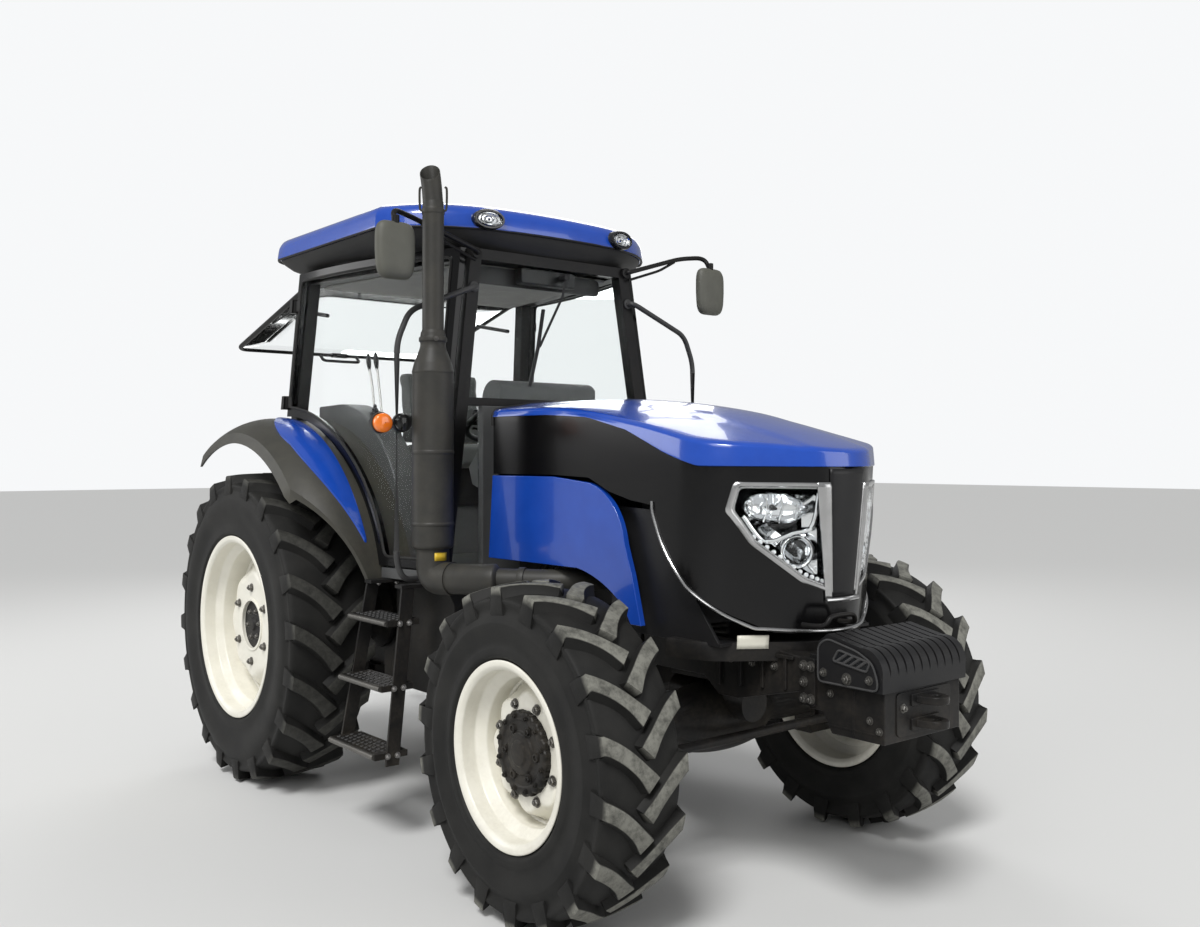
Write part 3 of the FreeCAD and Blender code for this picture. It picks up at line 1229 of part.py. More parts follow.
broken = [item.Name for item in doc.Objects if "Invalid" in item.State or "Error" in item.State]
if broken:
    raise RuntimeError("did not build: " + ", ".join(broken))
os.makedirs("parts", exist_ok=True)
for node, feature in parts.items():
    if feature.Shape.isNull() or not feature.Shape.isValid():
        raise RuntimeError(node + " has no valid shape")
    feature.Shape.exportStep("parts/" + node + ".step")
print(len(parts), "nodes written")
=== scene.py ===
import math
import bmesh
import bpy
import numpy as np
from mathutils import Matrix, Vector


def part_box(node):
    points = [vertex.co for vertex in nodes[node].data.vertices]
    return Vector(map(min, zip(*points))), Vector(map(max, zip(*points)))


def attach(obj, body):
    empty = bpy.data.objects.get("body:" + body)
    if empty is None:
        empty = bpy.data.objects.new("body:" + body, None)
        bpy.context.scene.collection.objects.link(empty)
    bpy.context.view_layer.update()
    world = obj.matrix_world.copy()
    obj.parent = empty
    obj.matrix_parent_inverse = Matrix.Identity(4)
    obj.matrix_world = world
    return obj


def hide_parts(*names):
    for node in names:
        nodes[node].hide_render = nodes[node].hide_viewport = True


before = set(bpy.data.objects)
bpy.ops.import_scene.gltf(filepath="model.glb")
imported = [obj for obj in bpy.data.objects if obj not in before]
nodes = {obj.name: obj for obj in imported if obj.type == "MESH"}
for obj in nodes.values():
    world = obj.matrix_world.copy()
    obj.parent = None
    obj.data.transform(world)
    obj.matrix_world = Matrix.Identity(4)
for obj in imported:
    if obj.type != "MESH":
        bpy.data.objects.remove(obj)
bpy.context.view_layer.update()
print("frame loaded:", len(nodes), "nodes")


# places that the pieces share, read from the frame

def spot(node):
    low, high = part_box(node)
    return np.array((low + high) / 2)


def low(node):
    return np.array(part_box(node)[0])


def high(node):
    return np.array(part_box(node)[1])


rearAxle = spot("rear_tyre_right")[0]


# camera, floor and lights

cameraValues = {
    "ahead": 5.69, "side": -3.202, "height": 1.619,  # from the ground below the rear axle
    "yaw": 139.853, "pitch": 0.43, "focal": 33.963, "sensor": 36, "shiftX": -0.0268,
    "shiftY": -0.0105}


def makeCamera(values):
    data = bpy.data.cameras.new("view")
    data.lens = values["focal"]
    data.sensor_width = values["sensor"]
    data.shift_x = values["shiftX"]
    data.shift_y = values["shiftY"]
    camera = bpy.data.objects.new("view", data)
    camera.location = (rearAxle + values["ahead"], values["side"], values["height"])
    yaw, pitch = math.radians(values["yaw"]), math.radians(values["pitch"])
    forward = Vector((math.cos(yaw) * math.cos(pitch), math.sin(yaw) * math.cos(pitch), math.sin(pitch)))
    camera.rotation_mode = "QUATERNION"
    camera.rotation_quaternion = forward.to_track_quat("-Z", "Y")
    bpy.context.collection.objects.link(camera)
    bpy.context.scene.camera = camera


studio = {
    "floorColour": (0.62, 0.62, 0.61), "floorReach": 60, "floorRoughness": 0.7,
    "backColour": (0.93, 0.94, 0.95), "worldStrength": 0.34,
    "sunEnergy": 2.3, "sunAngle": 0.3, "sunWay": (-0.42, 0.62, -1.0),
    "lamps": {  # place, the height it points at, size, energy
        "key": ((5.5, -7.5, 6.5), 1.2, 5, 260), "fill": ((8, 3.5, 3.5), 1.2, 5, 150),
        "back": ((-7, 5, 6), 1.5, 5, 220), "rearSide": ((-6, -6, 4), 1.2, 4, 150)}}


def newMaterial(name):
    material = bpy.data.materials.new(name)
    material.use_nodes = True
    return material, material.node_tree, material.node_tree.nodes["Principled BSDF"]


def setInputs(node, values):
    for socket, value in values.items():
        node.inputs[socket].default_value = value


def addLamp(name, kind, energy, place, way):
    data = bpy.data.lights.new(name, kind)
    data.energy = energy
    lamp = bpy.data.objects.new(name, data)
    lamp.location = place
    lamp.rotation_mode = "QUATERNION"
    lamp.rotation_quaternion = Vector(way).to_track_quat("-Z", "Y")
    bpy.context.collection.objects.link(lamp)
    return data


def makeWorld(values):
    # the camera and the glass see the full background; a weaker one lights the object
    world = bpy.data.worlds.new("studio")
    bpy.context.scene.world = world
    world.use_nodes = True
    tree = world.node_tree
    tree.nodes.clear()
    mix = tree.nodes.new("ShaderNodeMixShader")
    for socket, strength in ((1, values["worldStrength"]), (2, 1)):
        background = tree.nodes.new("ShaderNodeBackground")
        setInputs(background, {"Color": values["backColour"] + (1,), "Strength": strength})
        tree.links.new(background.outputs[0], mix.inputs[socket])
    rays = tree.nodes.new("ShaderNodeLightPath")
    either = tree.nodes.new("ShaderNodeMath")
    either.operation = "MAXIMUM"
    tree.links.new(rays.outputs["Is Camera Ray"], either.inputs[0])
    tree.links.new(rays.outputs["Is Transmission Ray"], either.inputs[1])
    tree.links.new(either.outputs[0], mix.inputs[0])
    tree.links.new(mix.outputs[0], tree.nodes.new("ShaderNodeOutputWorld").inputs["Surface"])


def makeFloor(values):
    mesh = bpy.data.meshes.new("floor")
    reach = values["floorReach"]
    mesh.from_pydata([(-reach, -reach, 0), (reach, -reach, 0), (reach, reach, 0), (-reach, reach, 0)], [],
                     [(0, 1, 2, 3)])
    floor = bpy.data.objects.new("floor", mesh)
    bpy.context.collection.objects.link(floor)
    material, _, shader = newMaterial("floorPaint")
    setInputs(shader, {"Base Color": values["floorColour"] + (1,), "Roughness": values["floorRoughness"]})
    mesh.materials.append(material)


def makeStudio(values):
    makeWorld(values)
    makeFloor(values)
    for name, (place, height, size, energy) in values["lamps"].items():
        way = Vector((0, 0, height)) - Vector(place)
        addLamp(name, "AREA", energy, place, way).size = size
    addLamp("sun", "SUN", values["sunEnergy"], (0, 0, 0), values["sunWay"]).angle = values["sunAngle"]
    bpy.context.scene.view_settings.view_transform = "Standard"


makeCamera(cameraValues)
makeStudio(studio)
print("camera and studio ready")


# shared effects

def newGroup(name, inputs, outputs):
    group = bpy.data.node_groups.new(name, "ShaderNodeTree")
    for socketName, kind, value in inputs:
        socket = group.interface.new_socket(socketName, in_out="INPUT", socket_type=kind)
        socket.default_value = value
    for socketName, kind in outputs:
        group.interface.new_socket(socketName, in_out="OUTPUT", socket_type=kind)
    return group, group.nodes.new("NodeGroupInput"), group.nodes.new("NodeGroupOutput")


def mathNode(tree, operation, first, second=None):
    node = tree.nodes.new("ShaderNodeMath")
    node.operation = operation
    for socket, value in zip(node.inputs, (first, second)):
        if value is None:
            continue
        if isinstance(value, (int, float)):
            socket.default_value = value
        else:
            tree.links.new(value, socket)
    return node.outputs[0]


def noiseNode(tree, vector, scale, detail=4.0, roughness=0.55):
    node = tree.nodes.new("ShaderNodeTexNoise")
    node.inputs["Detail"].default_value = detail
    node.inputs["Roughness"].default_value = roughness
    tree.links.new(vector, node.inputs["Vector"])
    if isinstance(scale, (int, float)):
        node.inputs["Scale"].default_value = scale
    else:
        tree.links.new(scale, node.inputs["Scale"])
    return node.outputs["Fac"]


def rampNode(tree, value, start, end):
    node = tree.nodes.new("ShaderNodeMapRange")
    node.inputs["From Min"].default_value = start
    node.inputs["From Max"].default_value = end
    tree.links.new(value, node.inputs["Value"])
    return node.outputs["Result"]


def mixNode(tree, factor, first, second):
    # a colour is three numbers or another node's socket
    node = tree.nodes.new("ShaderNodeMix")
    node.data_type = "RGBA"
    tree.links.new(factor, node.inputs["Factor"])
    for socket, colour in (("A", first), ("B", second)):
        if isinstance(colour, bpy.types.NodeSocket):
            tree.links.new(colour, node.inputs[socket])
        else:
            node.inputs[socket].default_value = tuple(colour) + (1,)
    return node.outputs["Result"]


def dustGroup():
    # dust: thicker near the ground and in patches; height in metres above the floor
    group, given, out = newGroup(
        "settledDust",
        [("Color", "NodeSocketColor", (0.5, 0.5, 0.5, 1)), ("Roughness", "NodeSocketFloat", 0.4),
         ("Amount", "NodeSocketFloat", 0.3), ("Reach", "NodeSocketFloat", 1.2)],
        [("Color", "NodeSocketColor"), ("Roughness", "NodeSocketFloat"), ("Mask", "NodeSocketFloat")])
    where = group.nodes.new("ShaderNodeTexCoord").outputs["Object"]
    split = group.nodes.new("ShaderNodeSeparateXYZ")
    group.links.new(where, split.inputs[0])
    fall = mathNode(group, "DIVIDE", split.outputs["Z"], given.outputs["Reach"])
    nearGround = mathNode(group, "MAXIMUM", mathNode(group, "SUBTRACT", 1.0, fall), 0.12)
    patches = rampNode(group, noiseNode(group, where, 5.0, 6.0, 0.65), 0.35, 0.75)
    fine = rampNode(group, noiseNode(group, where, 60.0, 3.0, 0.6), 0.3, 0.8)
    mask = mathNode(group, "MULTIPLY", patches, mathNode(group, "ADD", fine, 0.35))
    mask = mathNode(group, "MULTIPLY", mask, nearGround)
    mask = mathNode(group, "MULTIPLY", mask, given.outputs["Amount"])
    earth = (0.23, 0.19, 0.14)
    group.links.new(mixNode(group, mask, given.outputs["Color"], earth), out.inputs["Color"])
    rough = mathNode(group, "ADD", given.outputs["Roughness"], mathNode(group, "MULTIPLY", mask, 0.5))
    group.links.new(rough, out.inputs["Roughness"])
    group.links.new(mask, out.inputs["Mask"])
    return group


def grainGroup():
    # grain: fine moulded or cast texture as a height, with a slow change of shade
    group, given, out = newGroup(
        "surfaceGrain",
        [("Scale", "NodeSocketFloat", 400.0), ("Coarse", "NodeSocketFloat", 12.0)],
        [("Height", "NodeSocketFloat"), ("Shade", "NodeSocketFloat")])
    where = group.nodes.new("ShaderNodeTexCoord").outputs["Object"]
    fine = noiseNode(group, where, given.outputs["Scale"], 3.0, 0.6)
    coarse = noiseNode(group, where, given.outputs["Coarse"], 4.0, 0.55)
    group.links.new(mathNode(group, "ADD", fine, mathNode(group, "MULTIPLY", coarse, 0.6)),
                    out.inputs["Height"])
    group.links.new(rampNode(group, coarse, 0.25, 0.75), out.inputs["Shade"])
    return group


dust = dustGroup()
grain = grainGroup()


def placeGroup(tree, group, **values):
    node = tree.nodes.new("ShaderNodeGroup")
    node.node_tree = group
    for name, value in values.items():
        node.inputs[name].default_value = value
    return node


finishes, usualSlots = {}, {}  # by name: the material, and its usual slot on a piece


def addRelief(tree, shader, texture, strength):
    relief = tree.nodes.new("ShaderNodeBump")
    setInputs(relief, {"Strength": strength, "Distance": 0.002})
    tree.links.new(texture.outputs["Height"], relief.inputs["Height"])
    tree.links.new(relief.outputs["Normal"], shader.inputs["Normal"])


def finish(name, slot, colour, rough=0.4, metal=0.0, coat=0.0, shadeTo=None, grainScale=400.0,
           coarse=12.0, bump=0.0, dustAmount=0.3, dustReach=1.3, sheen=0.0, shine=0.5):
    # one opaque finish: colour shifted slowly to shadeTo, grain as bump, and dust on top
    material, tree, shader = newMaterial(name)
    setInputs(shader, {"Metallic": metal, "Coat Weight": coat, "Coat Roughness": 0.05,
                       "Sheen Weight": sheen, "Specular IOR Level": shine})
    texture = placeGroup(tree, grain, Scale=grainScale, Coarse=coarse)
    shade = mixNode(tree, texture.outputs["Shade"], colour, shadeTo or [part * 0.8 for part in colour])
    dusty = placeGroup(tree, dust, Roughness=rough, Amount=dustAmount, Reach=dustReach)
    tree.links.new(shade, dusty.inputs["Color"])
    tree.links.new(dusty.outputs["Color"], shader.inputs["Base Color"])
    tree.links.new(dusty.outputs["Roughness"], shader.inputs["Roughness"])
    if bump:
        addRelief(tree, shader, texture, bump)
    finishes[name], usualSlots[name] = material, slot


def tyreFinish(name, slot):
    # black rubber; where the piece's own "worn" value is high, the lug's top is scuffed to a pale
    # grey in patches
    material, tree, shader = newMaterial(name)
    where = tree.nodes.new("ShaderNodeTexCoord").outputs["Object"]
    texture = placeGroup(tree, grain, Scale=260.0, Coarse=6.0)
    base = mixNode(tree, texture.outputs["Shade"], (0.008, 0.008, 0.0078), (0.02, 0.0195, 0.018))
    worn = tree.nodes.new("ShaderNodeAttribute")
    worn.attribute_name = "worn"
    scuff = rampNode(tree, noiseNode(tree, where, 26.0, 8.0, 0.75), 0.32, 0.66)
    share = mathNode(tree, "MULTIPLY", worn.outputs["Fac"], mathNode(tree, "ADD", scuff, 0.25))
    share = mathNode(tree, "MINIMUM", share, 1.0)
    tree.links.new(mixNode(tree, share, base, (0.185, 0.183, 0.16)), shader.inputs["Base Color"])
    setInputs(shader, {"Roughness": 0.62, "Specular IOR Level": 0.2})
    addRelief(tree, shader, texture, 0.35)
    finishes[name], usualSlots[name] = material, slot


def glassFinish(name, slot, colour, rough=0.02, bend=1.05):
    material, _, shader = newMaterial(name)
    setInputs(shader, {"Base Color": tuple(colour) + (1,), "Transmission Weight": 1.0,
                       "Roughness": rough, "IOR": bend})
    finishes[name], usualSlots[name] = material, slot


finish("bluePaint", "blue_paint", (0.008, 0.065, 0.42), 0.22, coat=0.7, shadeTo=(0.006, 0.055, 0.37),
       dustAmount=0.12)
finish("blackGloss", "black_gloss", (0.0025, 0.0025, 0.003), 0.2, coat=0.1, dustAmount=0.08, shine=0.25)
finish("charcoal", "charcoal_plastic", (0.02, 0.02, 0.02), 0.52, grainScale=900, bump=0.25,
       dustAmount=0.2, dustReach=2.2, shine=0.25)
finish("chassisBlack", "dark_paint", (0.01, 0.01, 0.0105), 0.38, grainScale=300, bump=0.12,
       dustAmount=0.28, shine=0.18)
finish("casting", "casting", (0.015, 0.015, 0.016), 0.5, grainScale=220, coarse=20, bump=0.5,
       dustAmount=0.28, shine=0.18)
finish("rimPaint", "rim_paint", (0.78, 0.76, 0.68), 0.35, coat=0.2, shadeTo=(0.72, 0.7, 0.61),
       dustAmount=0.35)
tyreFinish("tyreRubber", "tyre")
finish("rubber", "dark_paint", (0.014, 0.014, 0.014), 0.5, grainScale=500, bump=0.15, dustAmount=0.3,
       shine=0.25)
finish("darkSteel", "bright_steel", (0.17, 0.165, 0.155), 0.42, metal=0.9, grainScale=500, bump=0.15,
       dustAmount=0.4)
finish("hubBlack", "dark_paint", (0.01, 0.01, 0.01), 0.35, grainScale=260, bump=0.25, dustAmount=0.3,
       shine=0.15)
finish("chrome", "bright_steel", (0.8, 0.81, 0.82), 0.08, metal=1.0, dustAmount=0.04)
finish("satinSilver", "bright_steel", (0.5, 0.5, 0.5), 0.22, metal=0.9, grainScale=700, bump=0.03,
       dustAmount=0.06)
finish("satinBlack", "dark_paint", (0.012, 0.012, 0.013), 0.38, grainScale=600, bump=0.05, dustAmount=0.1,
       shine=0.25)
finish("lampBlack", "black_gloss", (0.012, 0.013, 0.015), 0.2, coat=0.3, dustAmount=0.02)
finish("oliveGrey", "charcoal_plastic", (0.095, 0.095, 0.078), 0.55, grainScale=900, bump=0.2,
       dustAmount=0.15)
finish("fenderGrey", "charcoal_plastic", (0.048, 0.047, 0.038), 0.45, shadeTo=(0.036, 0.035, 0.03),
       grainScale=800, bump=0.18, dustAmount=0.3, dustReach=2.0, shine=0.3)
finish("liner", "cab_trim", (0.32, 0.315, 0.3), 0.8, grainScale=900, bump=0.3, dustAmount=0.1)
finish("railGrey", "dark_paint", (0.045, 0.045, 0.046), 0.4, grainScale=500, bump=0.08, dustAmount=0.2,
       shine=0.3)
finish("stackPaint", "charcoal_plastic", (0.03, 0.03, 0.028), 0.45, shadeTo=(0.046, 0.044, 0.038),
       grainScale=320, bump=0.12, dustAmount=0.3, shine=0.25)
finish("soot", "dark_paint", (0.045, 0.034, 0.024), 0.9)
finish("mirrorFace", "bright_steel", (0.75, 0.77, 0.78), 0.03, metal=1.0, dustAmount=0.03)
finish("plateCream", "lamp_glass", (0.72, 0.7, 0.6), 0.4, dustAmount=0.2)
finish("plateYellow", "lamp_glass", (0.75, 0.5, 0.03), 0.4, dustAmount=0.2)
finish("trim", "cab_trim", (0.075, 0.077, 0.078), 0.55, grainScale=700, bump=0.35, dustAmount=0.2)
finish("seatCloth", "seat_fabric", (0.1, 0.105, 0.1), 0.9, grainScale=1200, bump=0.6, sheen=0.3,
       dustAmount=0.1)
finish("core", "core", (0.06, 0.06, 0.062), 0.45, metal=0.6, dustAmount=0.4)
finish("steel", "bright_steel", (0.42, 0.41, 0.4), 0.38, metal=1.0, grainScale=500, bump=0.1,
       dustAmount=0.2)
glassFinish("glass", "glass", (0.95, 0.97, 0.965))
glassFinish("lampGlass", "lamp_glass", (0.97, 0.98, 0.98))
glassFinish("clearLens", "lamp_glass", (0.96, 0.97, 0.98), 0.04, 1.42)
finish("redLens", "lamp_glass", (0.45, 0.01, 0.01), 0.12, coat=0.8, dustAmount=0.08)
finish("capRed", "dark_paint", (0.3, 0.02, 0.015), 0.45, dustAmount=0.2)
finish("amber", "lamp_glass", (0.9, 0.22, 0.01), 0.12, coat=0.8, shadeTo=(0.8, 0.16, 0.01),
       dustAmount=0.05)
finish("dayLight", "lamp_glass", (0.85, 0.86, 0.88), 0.1, coat=0.5, dustAmount=0.0)
print("finishes made:", len(finishes))


# shapes: (points, loops, sizes) holds the corners' places, the faces' corners in a row, and each
# face's number of corners

def gridShape(grid, closeRows=False, closeColumns=False, caps=False):
    # a surface of two parameters: grid[i, j] is the point at the i-th and j-th step
    rows, columns = grid.shape[:2]
    number = np.arange(rows * columns).reshape(rows, columns)
    first, last = number[0], number[-1]
    if closeRows:
        number = np.vstack([number, number[:1]])
    if closeColumns:
        number = np.hstack([number, number[:, :1]])
    quads = np.stack([number[:-1, :-1], number[1:, :-1], number[1:, 1:], number[:-1, 1:]], axis=-1)
    loops = quads.reshape(-1)
    sizes = np.full(len(loops) // 4, 4)
    if caps:
        loops = np.concatenate([loops, first[::-1], last])
        sizes = np.concatenate([sizes, [columns, columns]])
    return grid.reshape(-1, 3), loops, sizes


def joined(shapes):
    counts = [len(shape[0]) for shape in shapes]
    starts = np.cumsum([0] + counts[:-1])
    return (np.vstack([shape[0] for shape in shapes]),
            np.concatenate([shape[1] + start for shape, start in zip(shapes, starts)]),
            np.concatenate([shape[2] for shape in shapes]))


def changed(shape, points):
    return points, shape[1], shape[2]


def moved(shape, offset):
    return changed(shape, shape[0] + np.array(offset))


def mirrored(shape):
    return changed(shape, shape[0] * (1, -1, 1))


def bothSides(shape):
    return joined([shape, mirrored(shape)])


def repeated(shape, turns, offsets):
    # copies: point * turns[k] + offsets[k]; turns is (k, 3, 3) and offsets (k, 3)
    turns, offsets = np.asarray(turns, float), np.asarray(offsets, float)
    points = np.einsum("pa,kab->kpb", shape[0], turns) + offsets[:, None, :]
    starts = np.arange(len(turns))[:, None] * len(shape[0])
    return points.reshape(-1, 3), (shape[1][None, :] + starts).reshape(-1), np.tile(shape[2], len(turns))


def facing(normals):
    # turns that take a shape's own +Z to each normal, and its +X across it
    ahead = np.atleast_2d(np.asarray(normals, float))
    ahead = ahead / np.linalg.norm(ahead, axis=1, keepdims=True)
    helper = np.where(np.abs(ahead[:, 2:3]) < 0.9, [[0, 0, 1.0]], [[1.0, 0, 0]])
    across = np.cross(helper, ahead)
    across = across / np.linalg.norm(across, axis=1, keepdims=True)
    return np.stack([across, np.cross(ahead, across), ahead], axis=1)


def placedAt(shape, places, normals):
    places = np.atleast_2d(np.asarray(places, float))
    turns = facing(normals)  # one normal serves all the places
    if len(turns) == 1:
        turns = np.repeat(turns, len(places), axis=0)
    return repeated(shape, turns, places)


def smoothLine(points, steps):
    # Catmull-Rom curve through the points: steps places in each span
    points = np.asarray(points, float)
    ends = np.vstack([2 * points[0] - points[1], points, 2 * points[-1] - points[-2]])
    t = np.linspace(0, 1, steps, endpoint=False)[None, :, None]
    a, b, c, d = (ends[k:len(ends) - 3 + k, None, :] for k in range(4))
    line = 0.5 * (2 * b + (c - a) * t + (2 * a - 5 * b + 4 * c - d) * t ** 2
                  + (3 * b - a - 3 * c + d) * t ** 3)
    return np.vstack([line.reshape(-1, points.shape[1]), points[-1:]])


def roundedLine(points, bend, steps=6, closed=False):
    # straight runs with each corner rounded: a quadratic curve between points bend from the corner
    points = np.asarray(points, float)
    before, after = np.roll(points, 1, axis=0), np.roll(points, -1, axis=0)
    inward, outward = before - points, after - points
    lengthIn = np.maximum(np.linalg.norm(inward, axis=1, keepdims=True), 1e-9)
    lengthOut = np.maximum(np.linalg.norm(outward, axis=1, keepdims=True), 1e-9)
    start = points + inward * np.minimum(bend / lengthIn, 0.49)
    finish = points + outward * np.minimum(bend / lengthOut, 0.49)
    t = np.linspace(0, 1, steps)[None, :, None]
    curves = ((1 - t) ** 2 * start[:, None] + 2 * t * (1 - t) * points[:, None]
              + t ** 2 * finish[:, None])
    if closed:
        return curves.reshape(-1, points.shape[1])
    return np.vstack([points[:1], curves[1:-1].reshape(-1, points.shape[1]), points[-1:]])


def latheShape(profile, centre=(0, 0, 0), axis=1, steps=64, closed=False, caps=False, wave=None):
    # a profile of (radius, place along the axis) carried round the axis; wave(turn) scales radius
    profile = np.asarray(profile, float)
    turn = np.linspace(0, 2 * np.pi, steps, endpoint=False)[None, :]
    radius = profile[:, :1] * np.ones_like(turn)
    if wave is not None:
        radius = radius * wave(turn, profile[:, :1], profile[:, 1:])
    grid = np.empty(radius.shape + (3,))
    first, second = [(1, 2), (2, 0), (0, 1)][axis]
    grid[..., first] = radius * np.cos(turn)
    grid[..., second] = radius * np.sin(turn)
    grid[..., axis] = profile[:, 1:]
    return gridShape(grid + np.array(centre), closeRows=closed, closeColumns=True, caps=caps)


def tubeShape(path, radius, sides=16, up=(0, 0, 1), caps=True, flat=1.0, closed=False):
    # a ring of the given radius carried along the path; flat squeezes it along up
    path = np.asarray(path, float)
    if closed:
        tangent = np.roll(path, -1, axis=0) - np.roll(path, 1, axis=0)
    else:
        tangent = np.gradient(path, axis=0)
    tangent = tangent / np.linalg.norm(tangent, axis=1, keepdims=True)
    across = np.cross(tangent, np.asarray(up, float))
    across = across / np.linalg.norm(across, axis=1, keepdims=True)
    other = np.cross(across, tangent)
    turn = np.linspace(0, 2 * np.pi, sides, endpoint=False)[None, :, None]
    size = np.broadcast_to(np.asarray(radius, float).reshape(-1, 1, 1), (len(path), 1, 1))
    grid = (path[:, None] + across[:, None] * np.cos(turn) * size
            + other[:, None] * np.sin(turn) * size * flat)
    return gridShape(grid, closeRows=closed, closeColumns=True, caps=caps and not closed)


def slabShape(outline, axis, low, high):
    # an outline in the plane across the axis, drawn from low to high; low may vary by corner
    outline = np.asarray(outline, float)
    first, second = [(1, 2), (0, 2), (0, 1)][axis]
    grid = np.empty((2, len(outline), 3))
    grid[:, :, first] = outline[:, 0]
    grid[:, :, second] = outline[:, 1]
    grid[0, :, axis] = low
    grid[1, :, axis] = high
    return gridShape(grid, closeColumns=True, caps=True)


def boxOutline(x0, y0, x1, y1, bend=0.0, steps=5):
    corners = np.array([(x0, y0), (x1, y0), (x1, y1), (x0, y1)], float)
    return roundedLine(corners, bend, steps, closed=True) if bend else corners


def boltShape(size, proud=None):
    # hexagon head with a chamfered top, on a washer, with the stud's end in its middle
    proud = proud or size * 0.62
    washer = latheShape([(0, 0), (size * 0.78, 0), (size * 0.78, size * 0.1), (0, size * 0.1)], axis=2,
                        steps=14)
    head = latheShape([(0, size * 0.1), (size * 0.575, size * 0.1), (size * 0.575, proud * 0.82),
                       (size * 0.5, proud), (0, proud)], axis=2, steps=6)
    stud = latheShape([(0, proud), (size * 0.27, proud), (size * 0.27, proud * 1.3),
                       (size * 0.2, proud * 1.4), (0, proud * 1.4)], axis=2, steps=10)
    return joined([washer, head, stud])


def at(x, y, z):
    # a point from millimetres ahead of the rear axle, to the left and up
    return np.array([rearAxle + x / 1000, y / 1000, z / 1000])


def path(*points):
    return np.array([at(*point) for point in points])


toRight, toFront, toRear = (0, -1, 0), (1, 0, 0), (-1, 0, 0)


def sidePlate(x0, z0, x1, z1, bend, near, far):
    # a plate across Y, in millimetres: outline in x and z, drawn from y = near to y = far
    return slabShape(boxOutline(x0, z0, x1, z1, bend) / 1000 + (rearAxle, 0), 1, near / 1000, far / 1000)


def crossPlate(y0, z0, y1, z1, bend, near, far):
    # a plate across X, in millimetres: outline in y and z, drawn from x = near to x = far
    return slabShape(boxOutline(y0, z0, y1, z1, bend) / 1000, 0, rearAxle + near / 1000,
                     rearAxle + far / 1000)


def turnedShape(profile, bend, count, **more):
    # a lathe shape whose profile has its corners rounded
    return latheShape(roundedLine(profile, bend, count), **more)


def boltRow(size, proud, places, way):
    return placedAt(boltShape(size, proud), places, way)


def ringPlaces(count, radius, centre, axis=1, start=0.0):
    turn = start + np.arange(count) * 2 * np.pi / count
    places = np.zeros((count, 3))
    first, second = [(1, 2), (2, 0), (0, 1)][axis]
    places[:, first] = radius * np.cos(turn)
    places[:, second] = radius * np.sin(turn)
    return places + np.array(centre)


def placePiece(name, mesh, finishName, body, replaces, smooth, bevel, bevelFrom=40, thick=0.0):
    # shading, finish, wall thickness and rounded edges, then the piece goes on its body
    mesh.shade_smooth()
    mesh.set_sharp_from_angle(angle=math.radians(smooth))
    mesh.materials.clear()
    mesh.materials.append(finishes[finishName])
    piece = bpy.data.objects.new(name, mesh)
    bpy.context.collection.objects.link(piece)
    if thick:
        wall = piece.modifiers.new("thickness", "SOLIDIFY")
        wall.thickness = thick
        wall.offset = -1
    if bevel:
        edge = piece.modifiers.new("edges", "BEVEL")
        edge.width = bevel
        edge.segments = 2
        edge.limit_method = "ANGLE"
        edge.angle_limit = math.radians(bevelFrom)
        edge.harden_normals = True
    if replaces:
        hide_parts(*replaces)
    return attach(piece, body)


def makePiece(name, shape, finishName, body="chassis", replaces=(), slot=None, smooth=32, bevel=0.0,
              thick=0.0, values=None, merge=True):
    points, loops, sizes = shape
    mesh = bpy.data.meshes.new(name)
    mesh.vertices.add(len(points))
    mesh.vertices.foreach_set("co", np.asarray(points, np.float32).ravel())
    mesh.loops.add(len(loops))
    mesh.loops.foreach_set("vertex_index", np.asarray(loops, np.int32))
    mesh.polygons.add(len(sizes))
    starts = np.concatenate([[0], np.cumsum(sizes)[:-1]])
    mesh.polygons.foreach_set("loop_start", starts.astype(np.int32))
    mesh.update(calc_edges=True)
    mesh.validate()
    for key, numbers in (values or {}).items():
        layer = mesh.attributes.new(key, "FLOAT", "POINT")
        layer.data.foreach_set("value", np.asarray(numbers, np.float32))
    if merge:
        work = bmesh.new()
        work.from_mesh(mesh)
        bmesh.ops.remove_doubles(work, verts=work.verts, dist=2e-6)
        bmesh.ops.recalc_face_normals(work, faces=work.faces)
        work.to_mesh(mesh)
        work.free()
    return placePiece(name, mesh, finishName, body, replaces, smooth, bevel, thick=thick)


def dressed(node, name, finishName, bevel, body="chassis", slot=None, smooth=30):
    # a merged copy of a node's own surface, with flat faces joined up and its edges rounded
    work = bmesh.new()
    work.from_mesh(nodes[node].data)
    bmesh.ops.remove_doubles(work, verts=work.verts, dist=1e-5)
    bmesh.ops.dissolve_limit(work, angle_limit=math.radians(0.6), verts=work.verts, edges=work.edges)
    mesh = bpy.data.meshes.new(name)
    work.to_mesh(mesh)
    work.free()
    mesh.polygons.foreach_set("material_index", np.zeros(len(mesh.polygons), np.int32))
    return placePiece(name, mesh, finishName, body, [node], smooth, bevel, bevelFrom=38)


# wheels: made for the right-hand side with their outer face towards -Y, about their own centre

tyreValues = {
    "rear": {"lugs": 20, "lugHeight": 0.036, "lugWidth": 0.029, "sweep": 0.18, "tread": 0.198,
             "worn": 0.22},
    "front": {"lugs": 18, "lugHeight": 0.03, "lugWidth": 0.026, "sweep": 0.15, "tread": 0.163,
              "worn": 1.0}}


def aboutAxle(turns):
    # one turn about Y for each angle, as 3 by 3 tables that multiply a row of x, y, z
    spin = np.zeros((len(turns), 3, 3))
    spin[:, 0, 0], spin[:, 0, 2] = np.cos(turns), -np.sin(turns)
    spin[:, 2, 0], spin[:, 2, 2] = np.sin(turns), np.cos(turns)
    spin[:, 1, 1] = 1
    return spin


